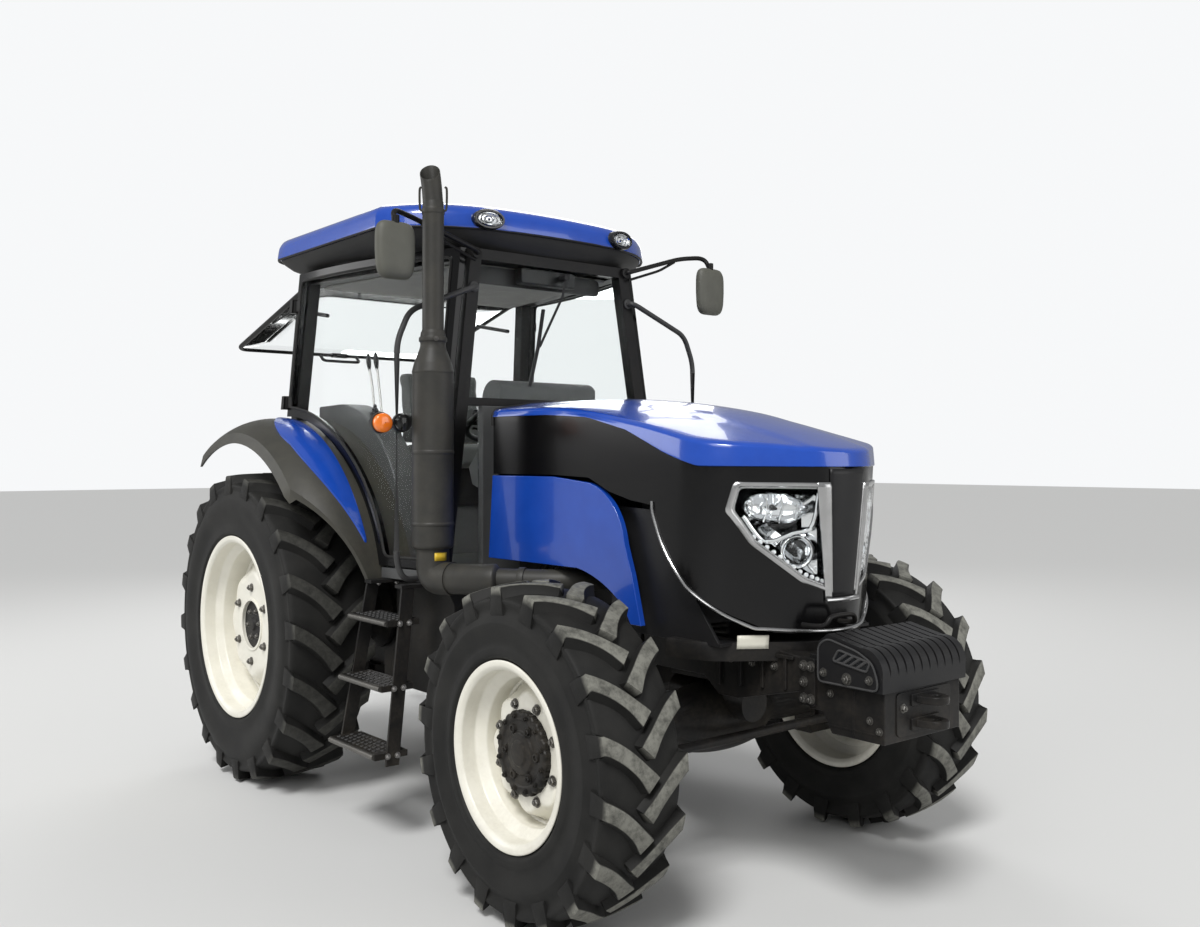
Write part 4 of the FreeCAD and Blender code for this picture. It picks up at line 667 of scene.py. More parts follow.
def tyreShape(values, radius, half, bead, foot):
    # Carcass: a closed profile of (radius, place across), out over the side wall and the crown and
    # back inside, carried round the axle. The side wall has a rim guard and a fine step.
    height, tread = values["lugHeight"], values["tread"]
    side = radius - bead
    key = [(bead, foot), (bead + 0.024, foot), (bead + 0.04, foot + 0.016), (bead + 0.062, foot + 0.015),
           (bead + 0.3 * side, half - 0.012), (bead + 0.5 * side, half), (radius - 0.128, half - 0.002),
           (radius - 0.092, half - 0.016), (radius - height - 0.026, tread + 0.001),
           (radius - height - 0.013, tread - 0.032), (radius - height - 0.003, tread * 0.5),
           (radius - height, 0)]
    outer = smoothLine(key, 5)
    outer = np.vstack([outer, (outer * (1, -1))[-2::-1]])
    inner = smoothLine([(bead, -foot + 0.028), (bead + 0.4 * side, -half + 0.028),
                        (radius - height - 0.045, -tread * 0.75), (radius - height - 0.03, 0),
                        (radius - height - 0.045, tread * 0.75), (bead + 0.4 * side, half - 0.028),
                        (bead, foot - 0.028)], 3)
    carcass = latheShape(np.vstack([outer, inner]), steps=168, closed=True)
    # Lug: stations t from the nose at the middle to the shoulder, then down the side wall; across
    # each one a base, a slanting wall, a worn edge and the top. Near the shoulder the section is
    # sheared from square across the lug to square across the tyre.
    t = np.linspace(0, 1, 13)
    down = np.array([0.08, 0.36, 0.68, 1.0])
    across = np.concatenate([[-0.016], -0.008 + (tread + 0.01) * t, np.full(4, tread + 0.002)])
    along = np.concatenate([t[:1] - 0.03, t, 1 + 0.04 * down])
    sweep = -values["sweep"] * (1.42 * along - 0.42 * along ** 2)
    topAcross, baseAcross = across.copy(), across.copy()
    topAcross[-4:] = tread + 0.005 + (half - tread - 0.009) * down
    baseAcross[-4:] = tread - 0.03 + (half - tread) * down * 0.7
    topRadius = radius - 0.012 * (np.minimum(np.abs(across), tread) / tread) ** 2
    topRadius[-4:] = radius - 0.016 - 0.086 * down ** 1.15
    baseRadius = radius - height - 0.008 - 0.024 * np.clip(np.abs(across) / tread, 0, 1) ** 3
    baseRadius[-4:] = radius - height - 0.034 - 0.08 * down
    rise = np.concatenate([[0.3], np.ones(len(across) - 1)])
    width = values["lugWidth"] * (1 + 0.28 * np.exp(-(along / 0.16) ** 2)
                                  + 0.16 * np.clip(along - 0.45, 0, 0.6))
    width[0] *= 0.8
    width[-4:] *= np.array([1.0, 1.12, 1.28, 1.45])
    high = np.array([0, 0.55, 0.95, 1, 1, 1, 0.95, 0.55, 0])[None, :]
    apart = np.array([-1, -1, -0.97, -0.86, 0, 0.86, 0.97, 1, 1])[None, :]
    flare = np.array([1, 0.22, 0, 0, 0, 0, 0, 0.22, 1])[None, :] * height * 0.42
    slope = np.gradient(sweep) / np.maximum(np.gradient(across + along * 1e-4), 1e-4)
    slope[-5:] = slope[-6]
    size = np.sqrt(1 + slope ** 2)
    shear = np.clip((along - 0.72) / 0.28, 0, 1)
    offset = apart * width[:, None] + np.sign(apart) * flare
    share = high * rise[:, None]
    y = baseAcross[:, None] + share * (topAcross - baseAcross)[:, None]
    y = y - offset * (slope / size * (1 - shear))[:, None]
    turn = (sweep[:, None] + offset * ((1 - shear) / size + shear * size)[:, None]) / radius
    out = baseRadius[:, None] + share * (topRadius - baseRadius)[:, None]
    grid = np.stack([out * np.sin(turn), y, out * np.cos(turn)], axis=-1)
    lug = gridShape(grid, caps=True)
    # the slab's long sides and both ends are closed by its base, which lies inside the carcass
    number = np.arange(grid.shape[0] * 9).reshape(-1, 9)
    base = np.stack([number[:-1, 8], number[1:, 8], number[1:, 0], number[:-1, 0]], axis=-1)
    lug = (lug[0], np.concatenate([lug[1], base.reshape(-1)]),
           np.concatenate([lug[2], np.full(len(base), 4)]))
    top = np.zeros(grid.shape[:2])
    top[1:-3, 3:6] = 1
    pitch = 2 * np.pi / values["lugs"]
    leftRow = repeated(lug, aboutAxle(np.arange(values["lugs"]) * pitch), np.zeros((values["lugs"], 3)))
    rightRow = repeated(mirrored(leftRow), aboutAxle(np.array([pitch / 2])), np.zeros((1, 3)))
    worn = np.concatenate([np.zeros(len(carcass[0])), np.tile(top.ravel(), 2 * values["lugs"])])
    return joined([carcass, leftRow, rightRow]), worn * values["worn"]


rimLip = 0.026  # from the bead seat out to the flange's edge


def rimProfile(half, bead):
    # Barrel: rolled flange, bead seat, drop centre and the other flange, and back underneath.
    wall = 0.011
    flange = bead + rimLip
    outside = [
        (flange - 0.004, -half), (flange, -half + 0.004), (flange - 0.003, -half + 0.009),
        (bead + 0.004, -half + 0.013), (bead, -half + 0.02), (bead - 0.002, -half + 0.066),
        (bead - 0.034, -half + 0.092), (bead - 0.034, half - 0.13), (bead - 0.002, half - 0.102),
        (bead, half - 0.02), (bead + 0.004, half - 0.013), (flange - 0.003, half - 0.009),
        (flange, half - 0.004), (flange - 0.004, half)]
    inside = [
        (bead + 0.004, half - 0.001), (bead - wall, half - 0.012), (bead - wall, half - 0.108),
        (bead - 0.034 - wall, half - 0.138), (bead - 0.034 - wall, -half + 0.1),
        (bead - wall, -half + 0.07), (bead - wall, -half + 0.012), (bead + 0.004, -half + 0.001)]
    line = np.array(outside + inside)
    return roundedLine(line, 0.006, 4, closed=True)


def dishShape(hole, flat, edge, face, depth, wall, lobes, swing):
    # Disc: it falls away inwards past a radius that swings with cos(lobes * turn), so the pressed
    # middle has corners; at its edge it meets the barrel.
    out = np.concatenate([np.linspace(hole, flat, 8), np.linspace(flat, edge, 22)[1:]])[:, None]
    turn = np.linspace(0, 2 * np.pi, 120, endpoint=False)[None, :]
    start = flat + swing * np.cos(lobes * turn)
    fall = np.clip((out - start) / (edge - 0.012 - start), 0, 1)
    place = face + depth * (fall * fall * (3 - 2 * fall))
    both = []
    for shift in (0, wall):
        grid = np.stack([out * np.cos(turn), place + shift, out * np.sin(turn)], axis=-1)
        both.append(grid)
    ring = np.concatenate([both[0], both[1][::-1]])
    return gridShape(ring, closeRows=True, closeColumns=True)


def weldShape(bead, place):
    # weld bead where the disc meets the barrel, its radius rippled round the turn
    line = [(bead - 0.054, place - 0.006), (bead - 0.044, place - 0.014), (bead - 0.044, place + 0.01),
            (bead - 0.054, place + 0.004)]
    return latheShape(roundedLine(line, 0.003, 3, closed=True), steps=140, closed=True,
                      wave=lambda turn, radius, across: 1 + 0.002 * np.sin(70 * turn))


def rearWheelShapes(half, bead):
    face = -half + 0.102
    barrel = latheShape(rimProfile(half, bead), steps=128, closed=True)
    disc = dishShape(0.122, 0.238, bead - 0.04, face, 0.105, 0.014, 8, 0.014)
    # the rolled edge of the disc's hole
    lip = latheShape(roundedLine([(0.12, face - 0.006), (0.134, face - 0.006), (0.134, face + 0.004),
                                  (0.12, face + 0.004)], 0.003, 3, closed=True), steps=64, closed=True)
    weld = weldShape(bead, face + 0.105)
    painted = joined([barrel, disc, lip, weld])
    # hub flange behind the disc, its end plate in the hole, and the axle's end
    hub = latheShape(roundedLine([
        (0, face - 0.002), (0.03, face - 0.002), (0.036, face + 0.01), (0.098, face + 0.014),
        (0.118, face + 0.015), (0.19, face + 0.015), (0.19, face + 0.036), (0.095, face + 0.036),
        (0.08, face + 0.104), (0, face + 0.104)], 0.004, 3), steps=64)
    nuts = placedAt(boltShape(0.028, 0.018), ringPlaces(6, 0.188, (0, face, 0)), toRight)
    inner = placedAt(boltShape(0.02), ringPlaces(6, 0.072, (0, face + 0.012, 0), start=0.4), toRight)
    valve = latheShape([(0, -0.018), (0.0045, -0.016), (0.0055, 0.0), (0.008, 0.004), (0.008, 0.016),
                        (0, 0.018)], (0, -half + 0.085, bead - 0.018), axis=1, steps=14)
    return painted, hub, joined([nuts, inner]), valve


def frontWheelShapes(half, bead):
    face = -half + 0.095
    barrel = latheShape(rimProfile(half, bead), steps=128, closed=True)
    disc = dishShape(0.072, 0.19, bead - 0.04, face, 0.08, 0.014, 8, 0.015)
    bolts = placedAt(boltShape(0.025, 0.014), ringPlaces(8, 0.172, (0, face, 0), start=np.pi / 8),
                     toRight)
    return joined([barrel, disc, weldShape(bead, face + 0.08)]), bolts


def frontHubShape(half):
    # Planetary hub: a cover whose edge is scalloped, raised ribs and a cap on it, the neck through
    # the disc and the case behind it.
    front = -half + 0.068
    face = -half + 0.095
    case = [(0, 0.128), (0.095, 0.128), (0.0697, face + 0.034), (0.0697, face), (0.15, face),
            (0.15, front + 0.009), (0.143, front + 0.001), (0.118, front), (0.112, front + 0.005),
            (0.078, front + 0.005), (0.07, front - 0.004), (0.046, front - 0.006), (0.04, front - 0.012),
            (0, front - 0.013)]

    def scallop(turn, radius, place):
        edge = np.clip((radius - 0.12) / 0.02, 0, 1) * (place < face)
        return 1 - edge * 0.045 * np.abs(np.cos(12 * turn)) ** 3

    return latheShape(roundedLine(np.array(case), 0.003, 3), steps=192, wave=scallop)


def hubBolts(half):
    front = -half + 0.068
    ring = placedAt(boltShape(0.015, 0.009), ringPlaces(12, 0.13, (0, front, 0), start=np.pi / 12),
                    toRight)
    plugs = placedAt(boltShape(0.022, 0.012), ringPlaces(3, 0.092, (0, front + 0.004, 0), start=0.5),
                     toRight)
    boss = latheShape([(0, 0), (0.017, 0), (0.015, 0.007), (0.009, 0.008), (0.008, 0.004), (0, 0.004)],
                      axis=2, steps=20)
    bosses = placedAt(boss, ringPlaces(3, 0.092, (0, front + 0.005, 0), start=0.5 + np.pi / 3), toRight)
    return joined([ring, plugs, bosses])


def makeWheel(end, side):
    tyreNode, rimNode = "%s_tyre_%s" % (end, side), "%s_rim_%s" % (end, side)
    body, centre = "%s_wheel_%s" % (end, side), spot(tyreNode)
    radius = (high(tyreNode)[2] - low(tyreNode)[2]) / 2
    half = (high(tyreNode)[1] - low(tyreNode)[1]) / 2 - 0.0005
    rimHalf = (high(rimNode)[1] - low(rimNode)[1]) / 2
    bead = (high(rimNode)[2] - low(rimNode)[2]) / 2 - rimLip

    def put(part, shape, finishName, replaces=(), **more):
        placed = moved(shape if side == "right" else mirrored(shape), centre)
        makePiece(end + part + side.title(), placed, finishName, body, replaces, **more)

    shape, worn = tyreShape(tyreValues[end], radius, half, bead, rimHalf - 0.012)
    put("Tyre", shape, "tyreRubber", [tyreNode], values={"worn": worn}, smooth=40)
    if end == "rear":
        painted, hub, nuts, valve = rearWheelShapes(rimHalf, bead)
        put("Rim", painted, "rimPaint", [rimNode])
        put("Hub", hub, "casting")
        put("Nuts", nuts, "darkSteel")
        put("Valve", valve, "rubber", slot="tyre")
    else:
        painted, bolts = frontWheelShapes(rimHalf, bead)
        put("Rim", painted, "rimPaint", [rimNode])
        put("RimBolts", bolts, "darkSteel")
        put("Hub", frontHubShape(rimHalf), "hubBlack", ["front_hub_" + side])
        put("HubBolts", hubBolts(rimHalf), "hubBlack")


def makeWheels():
    for end in ("rear", "front"):
        for side in ("right", "left"):
            makeWheel(end, side)


makeWheels()
print("wheels ready")


# hood: its plan from above and its crown are worked out here, and every piece on it follows them

hoodValues = {
    "rearX": 1500, "noseX": 3100, "halfWidth": 470, "cornerRadius": 268, "cornerBack": 393,
    "noseRadius": 331, "noseFace": 34, "lean": 45, "leanFrom": 1592, "leanTo": 940,
    "edgeRadius": 24, "bandProud": 5, "panelRise": 5, "panelHalf": 300}
crownStations = np.array([
    # x, ridge's height, drop of the crown at 600 from the middle
    (1480, 1885, 73), (2000, 1877, 76), (2440, 1827, 101), (2770, 1751, 91), (2980, 1691, 73),
    (3120, 1647, 60)])
paintedEdge = np.array([(1450, 1806), (1900, 1802), (2180, 1785), (2420, 1730), (2640, 1640),
                        (2790, 1596), (3160, 1592)])
noseEdge = np.array([(1450, 1556), (1950, 1556), (2180, 1548), (2310, 1496), (2440, 1466), (2560, 1452),
                     (2640, 1290), (2770, 1150), (2960, 1010), (3160, 985)])


def hoodPlanLine(values):
    # Half of the hood's outline from above, from its rear edge to the tip: a straight side, an
    # arc, a slanted face and the rounded front. Columns: x, y, and the outward normal.
    turnX, turnY = values["noseX"] - values["cornerBack"], values["cornerRadius"] - values["halfWidth"]
    side = np.column_stack([np.linspace(values["rearX"], turnX, 30),
                            -values["halfWidth"] + 6 * np.linspace(1, 0, 30) ** 3])
    face = math.radians(values["noseFace"])
    turn = np.linspace(-math.pi / 2, -face, 18)[1:]
    corner = np.column_stack([turnX + values["cornerRadius"] * np.cos(turn),
                              turnY + values["cornerRadius"] * np.sin(turn)])
    middle = values["noseX"] - values["noseRadius"]
    turn = np.linspace(-face, 0, 14)
    front = np.column_stack([middle + values["noseRadius"] * np.cos(turn),
                             values["noseRadius"] * np.sin(turn)])
    share = np.linspace(0, 1, 8)[1:-1, None]
    slant = corner[-1] + (front[0] - corner[-1]) * share
    line = np.vstack([side, corner, slant, front])
    along = np.gradient(line, axis=0)
    normal = np.column_stack([along[:, 1], -along[:, 0]]) / np.linalg.norm(along, axis=1, keepdims=True)
    normal[-1] = (1, 0)
    return np.column_stack([line, normal])


hoodLine = hoodPlanLine(hoodValues)
hoodRound = np.vstack([hoodLine, (hoodLine * (1, -1, 1, -1))[-2::-1]])
crownLine = smoothLine(crownStations, 12)


def crownHeight(x, y):
    # the ridge's height less the crown's drop, which grows with the square of y
    ridge = np.interp(x, crownLine[:, 0], crownLine[:, 1])
    drop = np.interp(x, crownLine[:, 0], crownLine[:, 2])
    rise = hoodValues["panelRise"] / (
        1 + np.exp((np.abs(y) - hoodValues["panelHalf"] + 0.09 * (x - 1500)) / 7))
    return ridge - drop * (y / 600) ** 2 - hoodValues["panelRise"] + rise


def leanAt(z):
    share = (hoodValues["leanFrom"] - z) / (hoodValues["leanFrom"] - hoodValues["leanTo"])
    return hoodValues["lean"] * np.clip(share, 0, None)


def onNose(y, z, out=0.0):
    # a place on the nose's skin, given across and up, out from it along its normal
    y, z = np.broadcast_arrays(np.asarray(y, float), np.asarray(z, float))
    front = hoodRound[hoodRound[:, 0] > 2700]
    x, normalX, normalY = (np.interp(y, front[:, 1], front[:, column]) for column in (0, 2, 3))
    return np.stack([(rearAxle * 1000 + x - leanAt(z) + normalX * out) / 1000, (y + normalY * out) / 1000,
                     z / 1000], axis=-1)


def paintedTop(values):
    # Columns follow the outline; rows run from the middle over the crown, round the edge and down
    # the bevelled band to the painted top's lower edge.
    x, y, normalX, normalY = hoodRound.T
    centreX = np.where(x < 2450, x, 2450 + (x - 2450) * 0.3)
    edge = values["edgeRadius"]
    rows = []
    for share in np.linspace(0, 1, 17):
        px = centreX + (x - normalX * edge - centreX) * share
        py = (y - normalY * edge) * share
        rows.append((px, py, crownHeight(px, py)))
    for turn in np.radians((18, 36, 54, 72, 90)):
        inward = edge * (1 - np.sin(turn))
        px, py = x - normalX * inward, y - normalY * inward
        rows.append((px, py, crownHeight(px, py) - edge * 0.55 * (1 - np.cos(turn))))
    shoulder = rows[-1][2]
    low = np.interp(x, paintedEdge[:, 0], paintedEdge[:, 1])
    for share, out in ((0.08, 0.1), (0.5, 0.6), (0.9, 1.0), (0.97, 1.0), (1.0, 0.7)):
        proud = values["bandProud"] * out
        rows.append((x + normalX * proud, y + normalY * proud, shoulder + (low - shoulder) * share))
    grid = np.stack([np.stack(row, axis=-1) for row in rows]) / 1000
    grid[..., 0] += rearAxle
    return gridShape(grid)


lampOutline = np.array([(-94, 1527), (-378, 1531), (-394, 1440), (-326, 1330), (-166, 1192), (-66, 1152)],
                       float)


def lampRing(inset, bend=12.0, steps=5, dense=40):
    # the headlight's outline drawn inwards by inset, with rounded corners, as (y, z)
    middle = lampOutline.mean(axis=0)
    after, before = np.roll(lampOutline, -1, axis=0), np.roll(lampOutline, 1, axis=0)
    first = (lampOutline - before) / np.linalg.norm(lampOutline - before, axis=1, keepdims=True)
    second = (after - lampOutline) / np.linalg.norm(after - lampOutline, axis=1, keepdims=True)
    inward = np.column_stack([-first[:, 1], first[:, 0]])
    inward *= np.sign(np.sum(inward * (middle - lampOutline), axis=1, keepdims=True))
    nextIn = np.column_stack([-second[:, 1], second[:, 0]])
    nextIn *= np.sign(np.sum(nextIn * (middle - lampOutline), axis=1, keepdims=True))
    bisector = inward + nextIn
    corners = lampOutline + bisector * inset / np.sum(bisector * inward, axis=1, keepdims=True)
    line = roundedLine(corners, bend, steps, closed=True)
    closed = np.vstack([line, line[:1]])
    length = np.concatenate([[0], np.cumsum(np.linalg.norm(np.diff(closed, axis=0), axis=1))])
    where = np.linspace(0, length[-1], dense * 3, endpoint=False)
    return np.column_stack([np.interp(where, length, closed[:, k]) for k in (0, 1)])


def ringStrip(rows, closeRows=True):
    # a band round the headlight: each row is (inset, out)
    grid = np.stack([onNose(*lampRing(inset).T, out) for inset, out in rows])
    return gridShape(grid, closeRows=closeRows, closeColumns=True)


def lampDisc(inset, out, rows=8, bulge=0.0):
    ring = lampRing(inset)
    middle = np.array([-240.0, 1365.0])
    share = np.linspace(0.02, 1, rows)[:, None, None]
    flat = middle + (ring - middle) * share
    depth = out + bulge * (1 - share[..., 0] ** 2)
    return gridShape(onNose(flat[..., 0], flat[..., 1], depth), closeColumns=True, caps=True)


def makeHeadlights():
    bezel = ringStrip([(-9, 1.5), (-9, 6), (-5, 9), (4, 9), (7, 6), (8, 2), (12, 2), (14, -4), (14, -18),
                       (-2, -18)])
    housing = [(10, 0), (12, -30), (30, -70), (70, -92), (95, -94)]
    bowlGrid = np.stack([onNose(*lampRing(inset).T, out) for inset, out in housing])
    bowl = joined([gridShape(bowlGrid, closeColumns=True), lampDisc(64, -91)])
    cover = lampDisc(8, 3, bulge=3.0)
    # reflector: half an ellipsoid of facets, open towards the front
    turn, depth = np.meshgrid(np.linspace(0, 2 * np.pi, 28, endpoint=False), np.linspace(0.12, 1, 8))
    bowlWidth, bowlHeight = np.sin(depth * np.pi / 2) * 92, np.sin(depth * np.pi / 2) * 56
    reflector = gridShape(onNose(-262 + bowlWidth * np.cos(turn) - 12 * np.sin(turn),
                                 1448 + bowlHeight * np.sin(turn),
                                 -72 + 60 * (1 - np.cos(depth * np.pi / 2))), closeColumns=True)
    slats = []
    for place in (-330, -285, -240, -195):
        z = np.linspace(1402, 1492, 10)
        line = onNose(place + 8 * np.sin((z - 1402) / 30), z, -44)
        slats.append(tubeShape(line, 0.0035, sides=8, up=(1, 0, 0)))
    # bright tray behind everything, with fine steps
    tray = [gridShape(onNose(*[np.stack([lampRing(inset + 2 * (k % 2))[:, axis]
                                         for k, inset in enumerate((34, 44, 54, 66, 78))])
                               for axis in (0, 1)],
                             np.array([-30, -44, -50, -60, -66.0])[:, None]), closeColumns=True)]
    # projector: a ring with its lens
    centre = onNose(-186, 1292, -34)
    normal = onNose(-186, 1292, 10) - onNose(-186, 1292, 0)
    ring = placedAt(latheShape(roundedLine([(0.04, -0.03), (0.06, -0.03), (0.062, 0.01), (0.054, 0.018),
                                            (0.044, 0.008)], 0.004, 4, closed=True), axis=2, steps=48,
                               closed=True), [centre], normal)
    turns = np.linspace(0.02, 1, 9)
    lens = placedAt(latheShape(np.column_stack([0.044 * np.sin(turns * np.pi / 2),
                                                0.004 + 0.022 * np.cos(turns * np.pi / 2)]),
                               axis=2, steps=40), [centre], normal)
    # trim that sweeps from the inner top corner round the projector
    sweep = smoothLine([(-120, 1500), (-128, 1420), (-150, 1370), (-205, 1356), (-262, 1330),
                        (-300, 1342), (-352, 1420)], 8)
    trimLine = tubeShape(onNose(sweep[:, 0], sweep[:, 1], -22), 0.0085, sides=10, up=(1, 0, 0))
    # day lights in a row along the lower edge
    row = np.column_stack([np.linspace(-318, -92, 12),
                           np.interp(np.linspace(-318, -92, 12), [-326, -166, -66],
                                     [1352, 1215, 1176])])
    spots = onNose(row[:, 0], row[:, 1], -12)
    bulb = latheShape([(0, 0.007), (0.006, 0.005), (0.0085, 0), (0.0085, -0.006), (0, -0.006)], axis=2,
                      steps=12)
    dayLights = placedAt(bulb, spots, normal)
    bulbLamp = placedAt(latheShape([(0, 0.03), (0.009, 0.026), (0.012, 0.012), (0.012, -0.02),
                                    (0, -0.02)], axis=2, steps=18), [onNose(-262, 1448, -50)],
                        [onNose(-262, 1448, 10) - onNose(-262, 1448, 0)])
    makePiece("headlightBowls", bothSides(bowl), "lampBlack", "hood", ["headlights"])
    makePiece("headlightReflectors", bothSides(joined([reflector] + tray + slats + [trimLine, ring])),
              "chrome", "hood")
    makePiece("headlightLenses", bothSides(joined([lens, bulbLamp])), "clearLens", "hood")
    makePiece("dayLights", bothSides(dayLights), "dayLight", "hood")
    makePiece("headlightBezels", bothSides(bezel), "satinSilver", "hood")
    makePiece("headlightCovers", bothSides(cover), "lampGlass", "hood", smooth=60)


def noseStrips():
    # the middle panel narrows downwards; its silver edges follow it
    z = np.linspace(1585, 1128, 24)
    half = 62 + 36 * (z - 1100) / 500
    share = np.linspace(-1, 1, 15)
    grid = onNose(share * (half[:, None] - 3), z[:, None], 4.5 + 2.5 * (1 - share ** 6))
    makePiece("nosePanel", gridShape(grid), "satinBlack", "hood", thick=0.006, slot="black_gloss")
    z = np.linspace(1538, 1118, 24)
    half = 62 + 36 * (z - 1100) / 500
    wide = 24 + 24 * (z - 1118) / 420
    rows = [onNose(-half + 1 - wide * share, z, out)
            for share, out in ((-0.1, 3), (0.0, 11), (0.12, 13), (0.9, 10), (1.0, 8), (1.0, 2))]
    makePiece("nosePanelEdges", bothSides(gridShape(np.stack(rows))), "satinSilver", "hood", thick=0.003)
    link = onNose(np.linspace(-84, 84, 9), np.full(9, 1118), 7)
    makePiece("nosePanelFoot", tubeShape(link, 0.009, sides=10), "satinSilver", "hood")


def trimAlongNose():
    # a bright line that follows the nose's lower edge from one side round to the other
    x, y, normalX, normalY = hoodRound.T
    chosen = x > 2572
    x, y, normalX, normalY = x[chosen], y[chosen], normalX[chosen], normalY[chosen]
    z = np.interp(x, noseEdge[:, 0], noseEdge[:, 1]) + 16
    line = np.column_stack([rearAxle * 1000 + x - leanAt(z) + normalX * 3, y + normalY * 3, z]) / 1000
    upper = at(2566, -473, 1466)
    line = np.vstack([upper, line, upper * (1, -1, 1)])
    makePiece("noseTrim", tubeShape(smoothLine(line, 3), 0.0062, sides=10), "satinSilver", "hood")


def noseDetails():
    # loop handle under the nose, a blank plate, and the dark lower rail behind the nose's edge
    loop = path((3040, -186, 1040), (3104, -186, 1042), (3138, -178, 1050), (3146, -158, 1074),
                (3146, -100, 1078), (3146, -42, 1074), (3138, -22, 1050), (3104, -14, 1042),
                (3040, -14, 1040))
    makePiece("noseHandle", tubeShape(smoothLine(loop, 6), 0.009, sides=12), "chassisBlack", "hood")
    y = np.linspace(-352, -258, 8)[:, None]
    z = np.linspace(950, 998, 4)[None, :]
    makePiece("blankPlate", gridShape(onNose(y, z, -13)), "plateCream", thick=0.002)
    x, yy, normalX, normalY = hoodRound[(hoodRound[:, 0] > 2640)].T
    rows = []
    for z, out in ((905, -70), (905, -22), (925, -17), (958, -17), (972, -22), (972, -70)):
        lean = leanAt(z)
        rows.append(np.column_stack([rearAxle * 1000 + x - lean + normalX * out, yy + normalY * out,
                                     np.full(len(x), z)]) / 1000)
    makePiece("lowerRail", gridShape(np.stack(rows), closeRows=True), "chassisBlack")


def makeHood():
    makePiece("hoodTop", paintedTop(hoodValues), "bluePaint", "hood", ["hood_top"], smooth=24,
              thick=0.012)
    dressed("hood_nose", "hoodNose", "blackGloss", 0.0025, "hood", smooth=24)
    # black piping across the hood's rear edge
    y = np.linspace(-466, 466, 60)
    z = crownHeight(np.full(60, 1502.0), y) - 2 - 22 * np.clip((np.abs(y) - 442) / 24, 0, 1) ** 2
    line = np.column_stack([np.full(60, rearAxle + 1.4965), y / 1000, z / 1000])
    line = np.vstack([line[0] - (0, 0, 0.045), line, line[-1] - (0, 0, 0.045)])
    makePiece("hoodPiping", tubeShape(line, 0.008, sides=10, up=(1, 0, 0)), "rubber", "hood")
    makeHeadlights()
    noseStrips()
    trimAlongNose()
    noseDetails()
    print("hood ready")


makeHood()


# roof: the cap and the tray share one outline from above

roofValues = {
    "front": 1335, "rear": -190, "half": 790, "base": 2580, "bowHalf": 350, "bow": 22,
    "cornerStart": 310, "cornerMiddle": (130, 635), "lampY": 388, "lampZ": 2710, "lampWide": 66,
    "lampHigh": 37, "lampYaw": -0.16, "lampPush": 5}


def threePointArc(first, middle, last, count):
    # the arc through three points in a plane, count places along it
    first, middle, last = (np.array(point, float) for point in (first, middle, last))
    matrix = 2 * np.array([middle - first, last - first])
    centre = np.linalg.solve(matrix, [middle @ middle - first @ first, last @ last - first @ first])
    start, through, end = (math.atan2(*(point - centre)[::-1]) for point in (first, middle, last))
    turns = np.unwrap([start, through, end])
    turn = np.linspace(turns[0], turns[2], count)
    radius = np.linalg.norm(first - centre)
    return centre + radius * np.column_stack([np.cos(turn), np.sin(turn)])


def roofLine(inset, lead=0.0):
    # Closed outline from above: a bowed front, an arc at each front corner, straight sides and
    # rounded rear corners, drawn inwards by inset.
    front, side = roofValues["front"] - inset + lead, -(roofValues["half"] - inset)
    rear, (middleBack, middleOut) = roofValues["rear"] + inset, roofValues["cornerMiddle"]
    nose = (front, inset * 0.4 - roofValues["bowHalf"])
    corner = threePointArc((roofValues["front"] - roofValues["cornerStart"] - inset * 0.6, side),
                           (roofValues["front"] - middleBack - (inset - lead) * 0.7,
                            inset * 0.8 - middleOut), nose, 16)
    back = threePointArc((rear, side + 190), (-145 + inset * 0.85, side + 50), (-50 + inset * 0.6, side),
                         12)
    side = np.linspace(back[-1], corner[0], 14)[1:-1]
    half = np.vstack([back, side, corner])
    bow = threePointArc(nose, (front + roofValues["bow"], 0), (nose[0], -nose[1]), 25)[1:-1]
    rearRow = np.linspace(half[0] * (1, -1), half[0], 14)[1:-1]
    return np.vstack([half, bow, (half * (1, -1))[::-1], rearRow])


def roofShape(levels):
    # the outline at each level of (height, inset, lead), pushed forwards round each front lamp
    rows = []
    for z, inset, lead in levels:
        line = roofLine(inset, lead)
        near = np.exp(-((np.abs(line[:, 1]) - roofValues["lampY"]) / 115) ** 4) * (line[:, 0] > 900)
        push = roofValues["lampPush"] * near * np.exp(-((z - 128) / 45) ** 4)
        rows.append(np.column_stack([line[:, 0] + push, line[:, 1],
                                     np.full(len(line), roofValues["base"] + z)]))
    grid = np.stack(rows) / 1000
    grid[..., 0] += rearAxle
    return gridShape(grid, closeColumns=True, caps=True)


def ovalRing(rows, centre, yaw=0.0, steps=48):
    # rows of (width, height, out along +X) carried round an ellipse, then turned by yaw about Z
    rows = np.asarray(rows, float)
    turn = np.linspace(0, 2 * np.pi, steps, endpoint=False)[None, :]
    out, across = rows[:, 2:], rows[:, :1] * np.cos(turn)
    grid = np.stack([out * math.cos(yaw) - across * math.sin(yaw),
                     out * math.sin(yaw) + across * math.cos(yaw), rows[:, 1:2] * np.sin(turn)],
                    axis=-1)
    return gridShape(grid / 1000 + centre, closeColumns=True)


